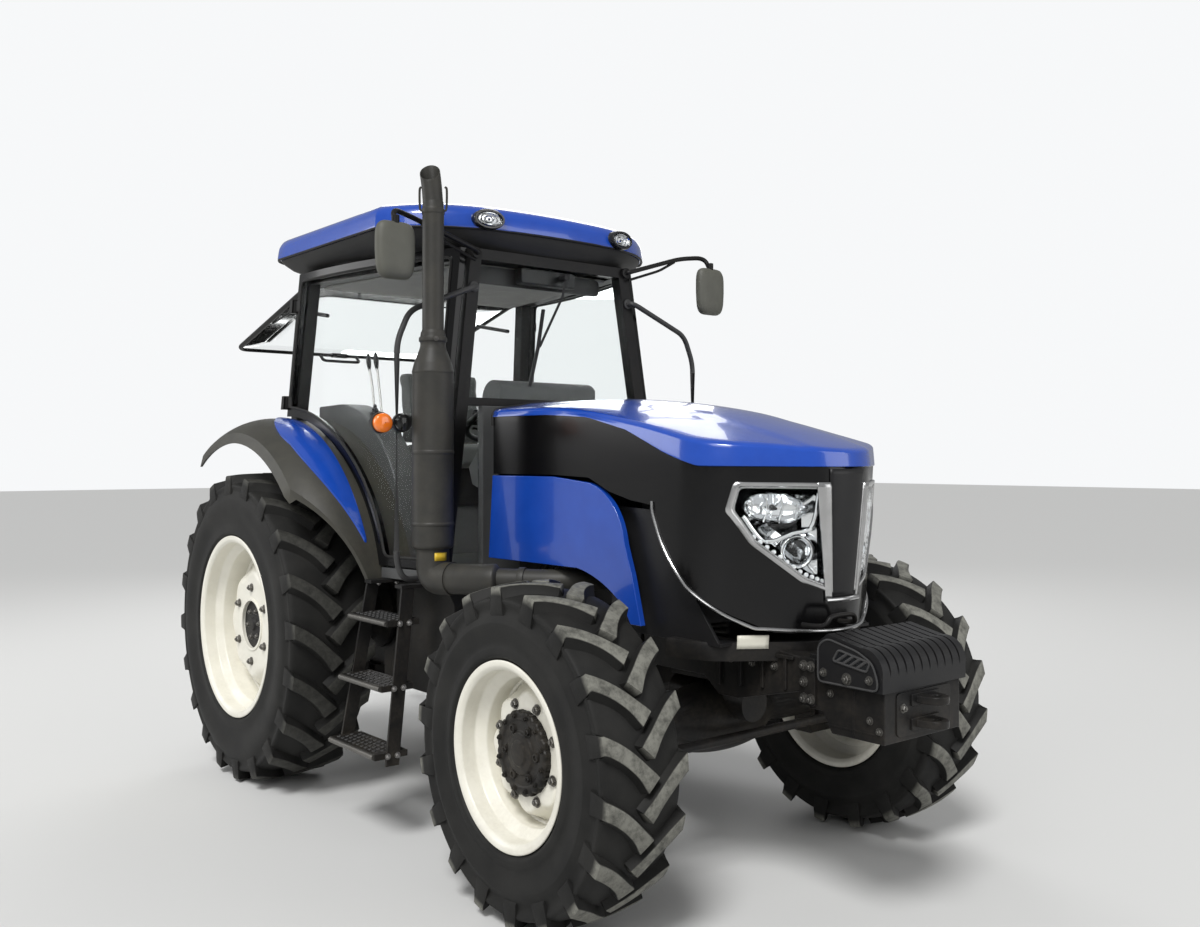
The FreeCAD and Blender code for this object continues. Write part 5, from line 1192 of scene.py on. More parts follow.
def makeRoof():
    levels = smoothLine([(90, 0, 0), (100, -1, 0), (134, 3, 0), (158, 9, 0), (184, 26, 0), (205, 66, 0),
                         (219, 120, 0), (228, 200, 0), (232, 300, 0)], 4)
    cap = roofShape(np.vstack([[(92, 40, 0), (90, 14, 0)], levels]))
    makePiece("roofCap", cap, "bluePaint", replaces=["roof_cap"], smooth=28)
    tray = roofShape([(0.5, 150, 90), (18, 105, 58), (40, 60, 30), (66, 30, 12), (84, 14, 0),
                      (89.5, 20, 0)])
    makePiece("roofTray", tray, "charcoal", replaces=["roof_tray"], smooth=35)
    seal = roofLine(4)
    ring = np.column_stack([seal, np.full(len(seal), roofValues["base"] + 89)]) / 1000 + (rearAxle, 0, 0)
    makePiece("roofSeal", tubeShape(ring, 0.006, sides=8, closed=True), "rubber")
    lampCentre = at(roofValues["front"] + 11, -roofValues["lampY"], roofValues["lampZ"])
    yaw = roofValues["lampYaw"]
    wide, high = roofValues["lampWide"], roofValues["lampHigh"]
    bezel = ovalRing([(wide + 10, high + 10, -30), (wide + 10, high + 10, 6), (wide + 6, high + 6, 14),
                      (wide - 2, high - 2, 14), (wide - 7, high - 7, 4), (wide - 9, high - 9, -26)],
                     lampCentre, yaw)
    bowl = ovalRing([(wide - 7, high - 7, 9), (wide - 14, high - 12, 3), (wide - 34, high - 24, 0),
                     (6, 6, -1)], lampCentre, yaw)
    cover = ovalRing([(wide - 5, high - 5, 10), (wide - 14, high - 12, 15), (wide - 36, high - 24, 18),
                      (4, 3, 19)], lampCentre, yaw)
    cage = [ovalRing([(w, h, 2), (w + 4, h + 3, 6), (w, h, 10), (w - 3, h - 2, 6), (w, h, 2)], lampCentre,
                     yaw) for w, h in ((40, 22), (20, 12))]
    makePiece("roofLampBezels", bothSides(bezel), "lampBlack", replaces=["lamps"])
    makePiece("roofLampBowls", bothSides(joined([bowl] + cage)), "chrome")
    makePiece("roofLampCovers", bothSides(cover), "lampGlass")
    print("roof ready")


makeRoof()


# turn lamps, mirrors, handrails and the exhaust

def makeTurnLamps():
    # a cup bracket on the handrail holds an amber lamp that faces forwards and a clear one beside it
    post, centre = at(1362, -862, 1772), at(1388, -950, 1772)
    turns = np.linspace(0.03, 1, 9) * np.pi / 2
    dome = np.column_stack([0.04 * np.sin(turns), 0.026 + 0.012 * np.cos(turns)])
    lensLine = np.vstack([dome, [(0.041, 0.02), (0.04, 0.0)]])
    cupLine = np.array([(0.041, 0.004), (0.045, 0.006), (0.045, -0.012), (0.034, -0.03), (0, -0.034)])
    for name, finishName, shift, size in (("amberLamps", "amber", (0, 0, 0), 1.0),
                                          ("sideLamps", "clearLens", (0.004, 0.094, 0.002), 0.9)):
        lens = latheShape(lensLine * size, axis=0, steps=48,
                          wave=lambda turn, r, a: 1 + 0.012 * np.cos(24 * turn))
        cup = latheShape(cupLine * size, axis=0, steps=40)
        makePiece(name, bothSides(moved(lens, centre + shift)), finishName, slot="lamp_glass")
        makePiece(name + "Cups", bothSides(moved(cup, centre + shift)), "satinBlack")
    armLine = path((1362, -862, 1772), (1368, -905, 1768), (1372, -990, 1772))
    arm = tubeShape(roundedLine(armLine, 0.02, 6), 0.009, sides=10)
    clamp = latheShape([(0.014, -0.02), (0.02, -0.018), (0.02, 0.018), (0.014, 0.02)], post, axis=2,
                       steps=20)
    makePiece("turnLampArms", bothSides(joined([arm, clamp])), "chassisBlack")


mirrorValues = {
    "place": (1448, -913, 2493), "halfWide": 90, "halfHigh": 122, "power": 0.42, "taper": 0.07,
    "glassShare": (0.9156, 0.9148), "glassFrom": -20.4, "glassTo": -17.2, "arm": 11.5, "brace": 7}


def makeMirrors(values):
    # head: a superellipse section in y and z that swells backwards; the glass faces to the rear
    turn = np.linspace(0, 2 * np.pi, 56, endpoint=False)
    ring = np.column_stack([np.cos(turn), np.sin(turn)])
    ring = np.sign(ring) * np.abs(ring) ** values["power"]
    ring[:, 0] *= 1 - values["taper"] * np.maximum(-ring[:, 1], 0)
    ring *= (values["halfWide"] / 1000, values["halfHigh"] / 1000)
    centre = at(*values["place"])
    rows = [(0.1, 22.5), (0.55, 22), (0.78, 19), (0.9, 13), (0.97, 4), (1.0, -8), (0.99, -18),
            (0.965, -22), (0.93, -22), (0.91, -17)]
    grid = np.stack([np.column_stack([np.full(len(ring), x / 1000), ring * share])
                     for share, x in rows]) + centre
    makePiece("mirrorHeads", bothSides(gridShape(grid, closeColumns=True, caps=True)), "oliveGrey",
              replaces=["mirrors"], smooth=50)
    glass = slabShape(centre[1:] + ring * values["glassShare"], 0, centre[0] + values["glassFrom"] / 1000,
                      centre[0] + values["glassTo"] / 1000)
    makePiece("mirrorGlass", bothSides(glass), "mirrorFace")
    armLine = path((1310, -440, 2555), (1352, -440, 2556), (1352, -780, 2662), (1405, -908, 2675),
                   (1442, -913, 2604))
    braceLine = path((1330, -452, 2520), (1350, -640, 2585), (1354, -740, 2640))
    bar = tubeShape(roundedLine(armLine, 0.055, 8), values["arm"] / 1000, sides=14)
    brace = tubeShape(roundedLine(braceLine, 0.03, 5), values["brace"] / 1000, sides=10)
    foot = turnedShape([(0, -0.004), (0.026, -0.004), (0.026, 0.008), (0, 0.008)], 0.003, 3, axis=0,
                       steps=24)
    foot = moved(foot, at(1322, -440, 2555))
    collar = latheShape([(0.0115, -0.02), (0.017, -0.018), (0.017, 0.018), (0.0115, 0.02)],
                        at(1442, -913, 2622), axis=2, steps=20)
    makePiece("mirrorArms", bothSides(joined([bar, brace, foot, collar])), "chassisBlack")


def makeHandrails():
    line = path((1314, -452, 2400), (1362, -455, 2400), (1362, -802, 2260), (1362, -862, 2120),
                (1362, -862, 1180), (1362, -830, 1105), (1340, -745, 1105), (1340, -692, 1105))
    rail = tubeShape(roundedLine(line, 0.05, 9), 0.0128, sides=18)
    foot = [(0, -0.003), (0.024, -0.003), (0.024, 0.006), (0, 0.006)]
    feet = [moved(turnedShape(foot, 0.002, 3, axis=axis, steps=24), place)
            for axis, place in ((0, at(1322, -452, 2400)), (1, at(1340, -698, 1105)))]
    makePiece("handrails", bothSides(joined([rail] + feet)), "railGrey", replaces=["handrails"])


exhaustValues = {
    "x": 1445, "y": -735, "pipe": 46, "shield": 88, "elbow": 70, "sleeve": 65, "top": 2902,
    "mouthWay": (0.764, -0.645), "mouthLean": (-0.004, -0.014), "outletFrom": 236, "slantFrom": 56,
    "plateRadius": 71.8, "plateHalfTurn": 0.42, "plateHalfHeight": 17, "plateZ": 1208}


def exhaustOutlet(values):
    # a straight pipe whose end is cut at a steep slant that faces mouthWay: the cut's height falls
    # with the distance that way. Returns the pipe, and the disc of soot that closes it inside.
    turn = np.linspace(0, 2 * np.pi, 48, endpoint=False)
    ring = np.column_stack([np.cos(turn), np.sin(turn)])
    size = (values["pipe"] - 3) / 1000
    middle = at(values["x"], values["y"], 0)[:2]
    foot = (values["top"] - values["outletFrom"]) / 1000
    end = (values["top"] - values["slantFrom"]) / 1000 - ring @ np.array(values["mouthWay"]) * size * 0.95
    rows = []
    for share, radius, fall in (  # share 0 is the flat foot and 1 the slanted end
            (0, 1, 0), (0.35, 1, 0), (0.6, 1, 0), (0.8, 1, 0), (0.92, 1, 0), (0.985, 1, 0), (1, 0.985, 0),
            (1, 0.93, 0), (0.985, 0.9, 0.002), (0.7, 0.9, 0.01), (0.3, 0.9, 0)):
        plan = middle + ring * radius * size + np.array(values["mouthLean"]) * share ** 2
        rows.append(np.column_stack([plan, foot + (end - foot) * share - fall]))
    return (gridShape(np.stack(rows), closeColumns=True),
            (rows[-2], np.arange(len(ring)), np.array([len(ring)])))


def exhaustStraps(values):
    # two bent straps from the clamp up beside the outlet
    straps = []
    across = np.array([-values["mouthWay"][1], values["mouthWay"][0]])
    heights = (values["top"] - np.array([222, 205, 130, 118])) / 1000
    for way in (-across, across):
        plan = at(values["x"], values["y"], 0)[:2] + np.array([[0.05], [0.057], [0.058], [0.05]]) * way
        straps.append(tubeShape(smoothLine(np.column_stack([plan, heights]), 4), 0.005, sides=8,
                                up=(*way, 0)))
    return straps


def makeExhaust(values):
    x, y, pipe, wide, top = (values[key] for key in ("x", "y", "pipe", "shield", "top"))
    elbowLine = roundedLine(path((1556, -701, 1116), (x, y, 1112), (x, y, 1262)), 0.062, 9)
    elbow = tubeShape(smoothLine(elbowLine, 2), values["elbow"] / 1000, sides=40, up=(-0.3, 0.95, 0))
    run = path((2000, -235.5, 1122), (2000, -400, 1122), (1700, -640, 1122), (1540, -708, 1116))
    pipeRun = tubeShape(roundedLine(run, 0.11, 9), pipe / 1000, sides=32)
    # wide sleeve over the pipe, from the elbow on, with a rounded end
    sleeveLine = smoothLine(path((1540, -706, 1116), (1640, -668, 1119), (1716, -630, 1121),
                                 (1752, -602, 1122)), 10)
    sleeveSize = np.full(len(sleeveLine), values["sleeve"] / 1000)
    sleeveSize[-4:] = (0.064, 0.06, 0.054, 0.047)
    sleeve = tubeShape(sleeveLine, sleeveSize, sides=40)
    clamp = turnedShape([(0.045, -0.014), (0.053, -0.014), (0.053, 0.014), (0.045, 0.014)], 0.002, 3,
                        axis=2, steps=40)
    clamp = placedAt(clamp, [at(1830, -537, 1122)], (0.78, 0.62, 0))
    stack = [(0, 1238), (wide - 14, 1238), (wide - 6, 1242), (wide - 1, 1250), (wide, 1262), (wide, 1336),
             (wide + 3, 1340), (wide + 3, 1348), (wide, 1352), (wide, 1640), (wide + 2.5, 1644),
             (wide + 2.5, 1654), (wide, 1658), (wide, 1985), (wide + 2, 1990), (wide, 1998),
             (wide - 8, 2030), (66, 2066), (57, 2090), (54, 2104), (54, 2118), (60, 2122), (60, 2138),
             (54, 2142), (52, 2160), (pipe + 3, 2164), (pipe, 2170), (pipe, top - 236),
             (pipe + 3, top - 232), (pipe + 3, top - 214), (pipe, top - 210), (pipe - 2, top - 180),
             (0, top - 180)]
    body = turnedShape(np.array(stack) / 1000, 0.003, 3, centre=at(x, y, 0), axis=2, steps=56)
    outlet, soot = exhaustOutlet(values)
    makePiece("exhaustStack", joined([elbow, pipeRun, sleeve, clamp, body, outlet]
                                     + exhaustStraps(values)), "stackPaint", replaces=["exhaust_stack"],
              smooth=38)
    makePiece("exhaustMouth", soot, "soot", merge=False)
    makePiece("exhaustBolts", boltRow(0.014, None, [at(x + 60, y - 20, 2130)], (0.95, -0.3, 0)),
              "darkSteel")
    # blank plate bent round the elbow
    turn = np.linspace(-1, 1, 7)[:, None] * values["plateHalfTurn"]
    rise = np.array([[-1.0, 1.0]]) * values["plateHalfHeight"]
    radius = values["plateRadius"]
    plate = np.stack(np.broadcast_arrays(radius * np.cos(turn), radius * np.sin(turn), rise),
                     axis=-1) / 1000
    makePiece("elbowPlate", gridShape(plate + at(x, y, values["plateZ"])), "plateYellow", thick=0.0015)


makeTurnLamps()
makeMirrors(mirrorValues)
makeHandrails()
makeExhaust(exhaustValues)
print("lamps, mirrors, rails and exhaust ready")


# cab: frame, glass and doors keep the construction's own forms with their edges rounded; seals,
# hinges, handles, wipers and stays are added to them

plainCopies = [
    # node, finish, rounding, and where they aren't the usual ones its body and its slot
    ("fenders", "fenderGrey", 0.004),
    ("fender_covers", "bluePaint", 0.003),
    ("side_panels", "bluePaint", 0.003),
    ("bulkhead", "satinBlack", 0.002),
    ("cab_frame", "chassisBlack", 0.006),
    ("cab_floor", "trim", 0.004),
    ("cab_mounts", "chassisBlack", 0.003),
    ("side_consoles", "trim", 0.01),
    ("dashboard", "trim", 0.012),
    ("seat_base", "satinBlack", 0.006, "chassis", "cab_trim"),
    ("steering_wheel", "satinBlack", 0.002, "steering_wheel", "cab_trim"),
    ("door_right", "blackGloss", 0.002, "door_right"),
    ("door_left", "blackGloss", 0.002, "door_left"),
    ("door_glass_right", "glass", 0, "door_right"),
    ("door_glass_left", "glass", 0, "door_left"),
    ("windshield", "glass", 0),
    ("side_tanks", "charcoal", 0.008),
    ("front_frame", "chassisBlack", 0.006),
    ("weight_carrier", "chassisBlack", 0.004),
    ("front_weights", "satinBlack", 0.003),
    ("engine_block", "casting", 0.008),
    ("transmission_housing", "casting", 0.01),
    ("rear_axle", "casting", 0.005),
    ("front_axle", "chassisBlack", 0.005),
    ("knuckle_right", "chassisBlack", 0.004, "steer_right"),
    ("knuckle_left", "chassisBlack", 0.004, "steer_left"),
    ("tie_rod", "chassisBlack", 0.002, "tie_rod"),
    ("lower_links", "chassisBlack", 0.004, "lower_links"),
    ("lift_arms", "chassisBlack", 0.004, "lift_arms"),
    ("lift_rods", "chassisBlack", 0.002, "lift_rods"),
    ("drawbar", "chassisBlack", 0.003),
    ("top_link", "darkSteel", 0.003),
    ("driveshaft_guard", "chassisBlack", 0.003),
    ("radiator", "core", 0.004),
    ("side_mesh", "satinBlack", 0.001)]


def camel(node):
    first, *rest = node.split("_")
    return first + "".join(word.title() for word in rest)


def makePlainCopies():
    for node, finishName, bevel, *rest in plainCopies:
        dressed(node, camel(node) + "Skin", finishName, bevel, *rest)
    print("plain forms dressed")


doorValues = {  # millimetres; the arc is about the rear axle
    "arc": 1073, "rear": -4, "floor": 1138, "top": 2580, "rearTop": 78, "frontTop": 1286,
    "frontMiddle": (1316, 1886), "frontFoot": 1336, "sealInset": 42, "sealBend": 28, "sealSize": 7,
    "lowFace": ((-40, 792), (665, 800), (1360, 688)), "highFace": ((-40, 730), (665, 676), (1306, 492)),
    "faceLow": 1110, "faceHigh": 2584, "handle": (1240, 1560), "hinges": (1915, 2415),
    "grab": ((430, 1740), (470, 1700), (620, 1470), (700, 1330), (716, 1290), (690, 1270)), "grabIn": 52}


def doorLine(inset, count=14):
    # The door's outline in x and z: up the leaning rear edge, along the top, down the front, along
    # the bottom and back up the fender's arc.
    reach = doorValues["arc"] + inset
    centre = spot("rear_tyre_right")[2] * 1000
    rear, low, top = doorValues["rear"] + inset, doorValues["floor"] + inset, doorValues["top"] - inset
    middleX, middleZ = doorValues["frontMiddle"]
    turn = np.linspace(math.acos((low - centre) / reach), math.asin(rear / reach), count)
    arc = np.column_stack([reach * np.sin(turn), centre + reach * np.cos(turn)])
    corners = np.array([(doorValues["rearTop"] + inset, top), (doorValues["frontTop"] - inset, top),
                        (middleX - inset, middleZ), (doorValues["frontFoot"] - inset, low)])
    return arc, corners


def doorSide(x, z, out=0.0):
    # distance from the middle of the door's outer face: a curve at the floor and one at the roof
    # rail, joined straight
    share = (z - doorValues["faceLow"]) / (doorValues["faceHigh"] - doorValues["faceLow"])
    lowFace, highFace = (threePointFace(x, *doorValues["lowFace"]),
                         threePointFace(x, *doorValues["highFace"]))
    return -(lowFace + (highFace - lowFace) * share) - out


def threePointFace(x, first, middle, last):
    # the quadratic through three points, close to the door's flat arc
    (x0, y0), (x1, y1), (x2, y2) = first, middle, last
    return (y0 * (x - x1) * (x - x2) / ((x0 - x1) * (x0 - x2)) + y1 * (x - x0) * (x - x2)
            / ((x1 - x0) * (x1 - x2)) + y2 * (x - x0) * (x - x1) / ((x2 - x0) * (x2 - x1)))


def makeDoorDetails(values):
    arc, corners = doorLine(values["sealInset"])
    line = roundedLine(np.vstack([arc, corners]), values["sealBend"], 6, closed=True)
    line = np.vstack([line, line[:1]])
    length = np.concatenate([[0], np.cumsum(np.linalg.norm(np.diff(line, axis=0), axis=1))])
    where = np.linspace(0, length[-1], 220, endpoint=False)
    x, z = (np.interp(where, length, line[:, column]) for column in (0, 1))
    seal = np.column_stack([rearAxle + x / 1000, doorSide(x, z, 1) / 1000, z / 1000])
    seal = tubeShape(seal, values["sealSize"] / 1000, sides=8, up=(0, 1, 0), closed=True)
    # outer handle with its cup and lock
    x, z = values["handle"]
    y = doorSide(x, z)
    cup = sidePlate(x - 34, z - 62, x + 34, z + 62, 14, y + 4, y - 8)
    leverLine = path((x - 8, y - 8, z - 44), (x - 8, y - 26, z - 26), (x - 8, y - 28, z + 20),
                     (x - 8, y - 10, z + 46))
    lever = tubeShape(smoothLine(leverLine, 6), 0.008, sides=12, up=(1, 0, 0), flat=0.7)
    lock = latheShape([(0, 0.004), (0.01, 0.004), (0.011, 0), (0.011, -0.008), (0, -0.008)], axis=2,
                      steps=20)
    lock = placedAt(lock, [at(x + 18, y - 9, z - 34)], toRight)
    # inner grab bar shaped like a flat C, its ends bent out to the door
    grab = roundedLine(path(*[(x, 0, z) for x, z in values["grab"]]), 0.03, 6)
    grab[:, 1] = (doorSide((grab[:, 0] - rearAxle) * 1000, grab[:, 2] * 1000) + values["grabIn"]) / 1000
    grab[[0, -1], 1] -= 0.03
    bar = tubeShape(grab, 0.012, sides=14, up=(0, 1, 0))
    knuckle = turnedShape([(0, -0.034), (0.011, -0.034), (0.012, -0.03), (0.012, 0.03), (0.011, 0.034),
                           (0, 0.034)], 0.002, 2, axis=2, steps=18)
    hinges = []
    for z in values["hinges"]:
        x = 12 + 0.11 * (z - 1886)  # along the leaning rear edge
        y = doorSide(x, z)
        hinges += [moved(knuckle, at(x - 22, y - 2, z)),
                   sidePlate(x - 18, z - 28, x + 46, z + 28, 8, y - 1, y - 6)]
    for side, put in (("Right", lambda shape: shape), ("Left", mirrored)):
        body = "door_" + side.lower()
        for name, shape, finishName, edge in (
            ("doorSeal", seal, "rubber", 0), ("doorHandle", joined([cup, lever, lock]), "satinBlack", 0),
            ("doorGrab", bar, "satinBlack", 0), ("doorHinge", joined(hinges), "chassisBlack", 0.0015)):
            makePiece(name + side, put(shape), finishName, body, bevel=edge, slot="dark_paint")


rearWindowValues = {"halfWidth": 640, "top": 2545, "reach": -1000, "foot": 2280, "pane": 0.005}


def makeRearWindow(values):
    half, top, reach, foot = (values[key] for key in ("halfWidth", "top", "reach", "foot"))
    line = path((44.5, -half, top), (0, -half, top), (reach, -half, foot), (reach, half, foot),
                (0, half, top), (44.5, half, top))
    handle = path((-992, -120, 2270), (-950, -120, 2236), (-950, 120, 2236), (-992, 120, 2270))
    pieces = [tubeShape(roundedLine(line, 0.06, 8), 0.0138),
              tubeShape(path((0, -half, top), (0, half, top)), 0.011, sides=14),
              tubeShape(roundedLine(handle, 0.02, 6), 0.009, sides=12),
              sidePlate(reach - 4, 2262, reach + 36, 2294, 8, -50, 50)]
    for y in (-560, 560):  # a gas stay on each side: cylinder and rod
        pieces += [tubeShape(path((70, y * 1.02, 2380), (-300, y * 1.06, 2446)), 0.011, sides=14),
                   tubeShape(path((-300, y * 1.06, 2446), (-560, y * 1.085, 2396)), 0.005, sides=10)]
    makePiece("rearWindowFrame", joined(pieces), "chassisBlack", replaces=["rear_window"])
    u, v = np.meshgrid(np.linspace(0, 1, 8), np.linspace(-1, 1, 8))
    grid = np.stack([rearAxle - 0.002 - 0.996 * u, 0.634 * v, 2.5425 - 0.264 * u], axis=-1)
    makePiece("rearWindowGlass", gridShape(grid), "glass", thick=values["pane"])


wiperValues = {"glassFoot": 1314, "footZ": 1902, "glassTop": 1288, "topZ": 2526, "glassHalf": 6}


def makeWipers(values):
    # front wiper: an arm down from its cap and the blade, both on the leaning windshield; the
    # motor's box is inside at the top
    lean = (values["glassTop"] - values["glassFoot"]) / (values["topZ"] - values["footZ"])

    def onGlass(*points):
        # points of (y, z, distance in front of the glass)
        return path(*[(values["glassFoot"] + (z - values["footZ"]) * lean + values["glassHalf"] + out, y,
                       z) for y, z, out in points])

    arm = tubeShape(onGlass((60, 2490, 34), (40, 2400, 30), (-96, 2150, 22)), 0.007, sides=10,
                    up=(1, 0, 0), flat=0.6)
    blade = tubeShape(onGlass((-60, 2330, 8), (-96, 2150, 9), (-150, 1960, 8)), 0.008, sides=8,
                      up=(1, 0, 0), flat=1.4)
    cap = placedAt(turnedShape([(0, 0.05), (0.016, 0.048), (0.018, 0.0), (0, 0.0)], 0.003, 3, axis=2,
                               steps=20), onGlass((60, 2490, -4)), (1, 0, 0.04))
    makePiece("frontWiper", joined([arm, blade, cap]), "satinBlack")
    makePiece("wiperMotor", crossPlate(-160, 2452, 160, 2528, 18, 1215, 1275), "satinBlack", bevel=0.008,
              slot="cab_trim")


def makeHeadliner():
    # pale ceiling panel, narrower towards the front and arched a little, and a sun visor
    u, v = np.meshgrid(np.linspace(0, 1, 20), np.linspace(-1, 1, 20))
    x = 60 + 1130 * u
    half = 590 - 190 * np.clip((x - 130) / 1120, 0, 1)
    z = 2532 + 22 * (1 - v ** 2) * np.sin(np.pi * u)
    grid = np.stack([rearAxle + x / 1000, half * v / 1000, z / 1000], axis=-1)
    makePiece("headliner", gridShape(grid), "liner", thick=0.012)
    makePiece("sunVisor", crossPlate(-360, 2440, 360, 2524, 30, 1196, 1204), "satinBlack",
              slot="cab_trim")


def makeInterior():
    # levers with paddle knobs and boots, pedals, a column stalk and gauges
    levers, knobs, pedals, gauges = [], [], [], []
    paddle = [0.006, 0.01, 0.014, 0.017, 0.019, 0.019, 0.018, 0.014, 0.006]
    boot = [(0.006, 0.05), (0.01, 0.04), (0.009, 0.034), (0.016, 0.026), (0.014, 0.02), (0.024, 0.01),
            (0.026, 0)]
    for x, foot, y in ((475, 1846.9, -505), (555, 1805.3, -505)):
        leverLine = path((x, y, foot), (x - 22, y, foot + 120), (x - 56, y, 2080))
        levers.append(tubeShape(smoothLine(leverLine, 5), 0.0055, sides=10))
        line = np.linspace(at(x - 56, y, 2064), at(x - 78, y, 2160), len(paddle))
        knobs.append(tubeShape(line, paddle, up=(0, 1, 0), flat=0.55))
        knobs.append(latheShape(boot, at(x + 2, y, foot), axis=2, steps=24))
    makePiece("leverRods", joined(levers), "steel", replaces=["control_levers"])
    makePiece("leverKnobs", joined(knobs), "satinBlack", slot="cab_trim")
    lean = math.radians(35)
    turn = [[math.cos(lean), 0, -math.sin(lean)], [0, 1, 0], [math.sin(lean), 0, math.cos(lean)]]
    for y, size in ((-170, 34), (-95, 30), (150, 34)):
        armLine = path((1190, y, 1430), (1130, y, 1330), (1090, y, 1230))
        pad = slabShape(boxOutline(y - size, -45, y + size, 45, 10) / 1000, 0, -0.006, 0.006)
        pedals += [tubeShape(smoothLine(armLine, 5), 0.008, sides=10),
                   repeated(pad, [turn], [at(1084, 0, 1222)])]
    makePiece("pedals", joined(pedals), "rubber", slot="cab_trim")
    stalkLine = smoothLine(path((910, -30, 1735), (900, -120, 1760), (890, -190, 1775)), 5)
    stalk = tubeShape(stalkLine, [0.006] * 10 + [0.01], sides=10)
    makePiece("columnStalk", stalk, "satinBlack", slot="cab_trim")
    for y, size in ((-90, 0.055), (40, 0.055), (140, 0.035)):
        ring = latheShape([(0, -0.004), (size - 0.006, -0.004), (size - 0.004, 0.004), (size, 0.006),
                           (size + 0.002, 0), (size + 0.002, -0.006)], axis=2, steps=32)
        gauges.append(placedAt(ring, [at(1118, y, 1800)], toRear))
    makePiece("gauges", joined(gauges), "lampBlack", slot="cab_trim")


wheelValues = {"centre": (880, 0, 1810), "lean": 28, "knobOut": 0.15, "knobUp": 0.012, "capUp": 0.01}


def makeSteeringDetails(values):
    # spinner knob near the rim and a cap on the hub, both square to the leaning wheel
    centre, lean = at(*values["centre"]), math.radians(values["lean"])
    normal = np.array([-math.sin(lean), 0, math.cos(lean)])
    knob = latheShape([(0, 0.048), (0.014, 0.046), (0.019, 0.034), (0.016, 0.02), (0.009, 0.014),
                       (0.009, 0.0), (0, 0)], axis=2, steps=20)
    knob = placedAt(knob, [centre + np.array(toRight) * values["knobOut"] + normal * values["knobUp"]],
                    normal)
    cap = latheShape([(0, 0.028), (0.03, 0.024), (0.044, 0.014), (0.046, 0.0), (0, 0)], axis=2, steps=32)
    cap = placedAt(cap, [centre + normal * values["capUp"]], normal)
    makePiece("wheelKnob", joined([knob, cap]), "satinBlack", "steering_wheel", slot="cab_trim")


# padded seat: each pad starts slightly smaller than its node, and is blown up as cloth

padValues = {
    "shrink": 0.96, "voxel": 0.0125, "pressure": 4, "stiffness": 12, "bending": 1.2, "frames": 16,
    "reach": 0.012, "quickEdge": 0.02, "fill": 0.6,
    "seamPlace": 0.165, "seamWidth": 0.008, "ribWidth": 0.007, "seamDepth": 0.007}


def meshPoints(mesh):
    points = np.empty(len(mesh.vertices) * 3)
    mesh.vertices.foreach_get("co", points)
    return points.reshape(-1, 3)


def softPad(name, node, seams, values):
    # cloth under pressure from inside; no point moves further than reach
    mesh = nodes[node].data.copy()
    mesh.name = name
    piece = bpy.data.objects.new(name, mesh)
    bpy.context.collection.objects.link(piece)
    mesh.materials.clear()
    mesh.materials.append(finishes["seatCloth"])
    points = meshPoints(mesh)
    middle = (points.min(axis=0) + points.max(axis=0)) / 2
    mesh.vertices.foreach_set("co", (middle + (points - middle) * values["shrink"]).ravel())
    bpy.context.view_layer.objects.active = piece
    piece.select_set(True)
    remesh = piece.modifiers.new("remesh", "REMESH")
    remesh.mode = "VOXEL"
    remesh.voxel_size = values["voxel"]
    bpy.ops.object.modifier_apply(modifier=remesh.name)
    start = meshPoints(piece.data)
    cloth = piece.modifiers.new("cloth", "CLOTH")
    cloth.settings.use_pressure = True
    cloth.settings.uniform_pressure_force = values["pressure"]
    cloth.settings.effector_weights.gravity = 0
    cloth.settings.tension_stiffness = cloth.settings.compression_stiffness = values["stiffness"]
    cloth.settings.bending_stiffness = values["bending"]
    cloth.point_cache.frame_start, cloth.point_cache.frame_end = 1, values["frames"]
    scene = bpy.context.scene
    for frameNumber in range(1, values["frames"] + 1):
        scene.frame_set(frameNumber)
    bpy.ops.object.modifier_apply(modifier=cloth.name)
    scene.frame_set(1)
    step = meshPoints(piece.data) - start
    far = np.linalg.norm(step, axis=1, keepdims=True)
    step *= np.minimum(1, values["reach"] / np.maximum(far, 1e-9))
    piece.data.vertices.foreach_set("co", pressSeams(start + step, middle, *seams, values).ravel())
    piece.data.update()
    piece.data.shade_smooth()
    finer = piece.modifiers.new("finer", "SUBSURF")
    finer.levels = finer.render_levels = 1
    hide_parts(node)
    piece.select_set(False)
    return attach(piece, "chassis")


def pressSeams(points, middle, along, deep, pitch, values):
    # stitched channels: one near each side and ribs between them, each a bell curve across its
    # line, pressed into the pad's outer half
    across = np.abs(points[:, 1] - middle[1])
    side = np.exp(-((across - values["seamPlace"]) / values["seamWidth"]) ** 2)
    place = np.mod(points[:, along] - middle[along] + pitch / 2, pitch) - pitch / 2
    rib = np.exp(-(place / values["ribWidth"]) ** 2) * (across < values["seamPlace"])
    outer = points[:, deep] > middle[deep]
    points[:, deep] -= values["seamDepth"] * np.maximum(side, rib) * outer
    return points


def makeSeat():
    # seams: the axis the ribs follow one another along, the axis they are pressed along, the pitch
    pads = [softPad("seatCushionPad", "seat_cushion", (0, 2, 0.09), padValues),
            softPad("seatBackPad", "seat_back", (2, 0, 0.08), padValues)]
    arms = []
    for y in (-275, 275):
        rest = path((270, y, 1800), (300, y, 1835), (440, y, 1840), (570, y, 1836), (590, y, 1822))
        arms.append(tubeShape(smoothLine(rest, 6), 0.026, flat=0.7))
        arms.append(tubeShape(path((280, y * 0.88, 1690), (282, y, 1800)), 0.011, sides=10))
    makePiece("armRests", joined(arms), "satinBlack", slot="cab_trim")
    print("seat ready")


makePlainCopies()
makeDoorDetails(doorValues)
makeRearWindow(rearWindowValues)
makeWipers(wiperValues)
makeHeadliner()
makeInterior()
makeSteeringDetails(wheelValues)
makeSeat()
print("cab ready")


# steps: bent treads with raised grips, a lighter lip and bright bolts on leaning side bars

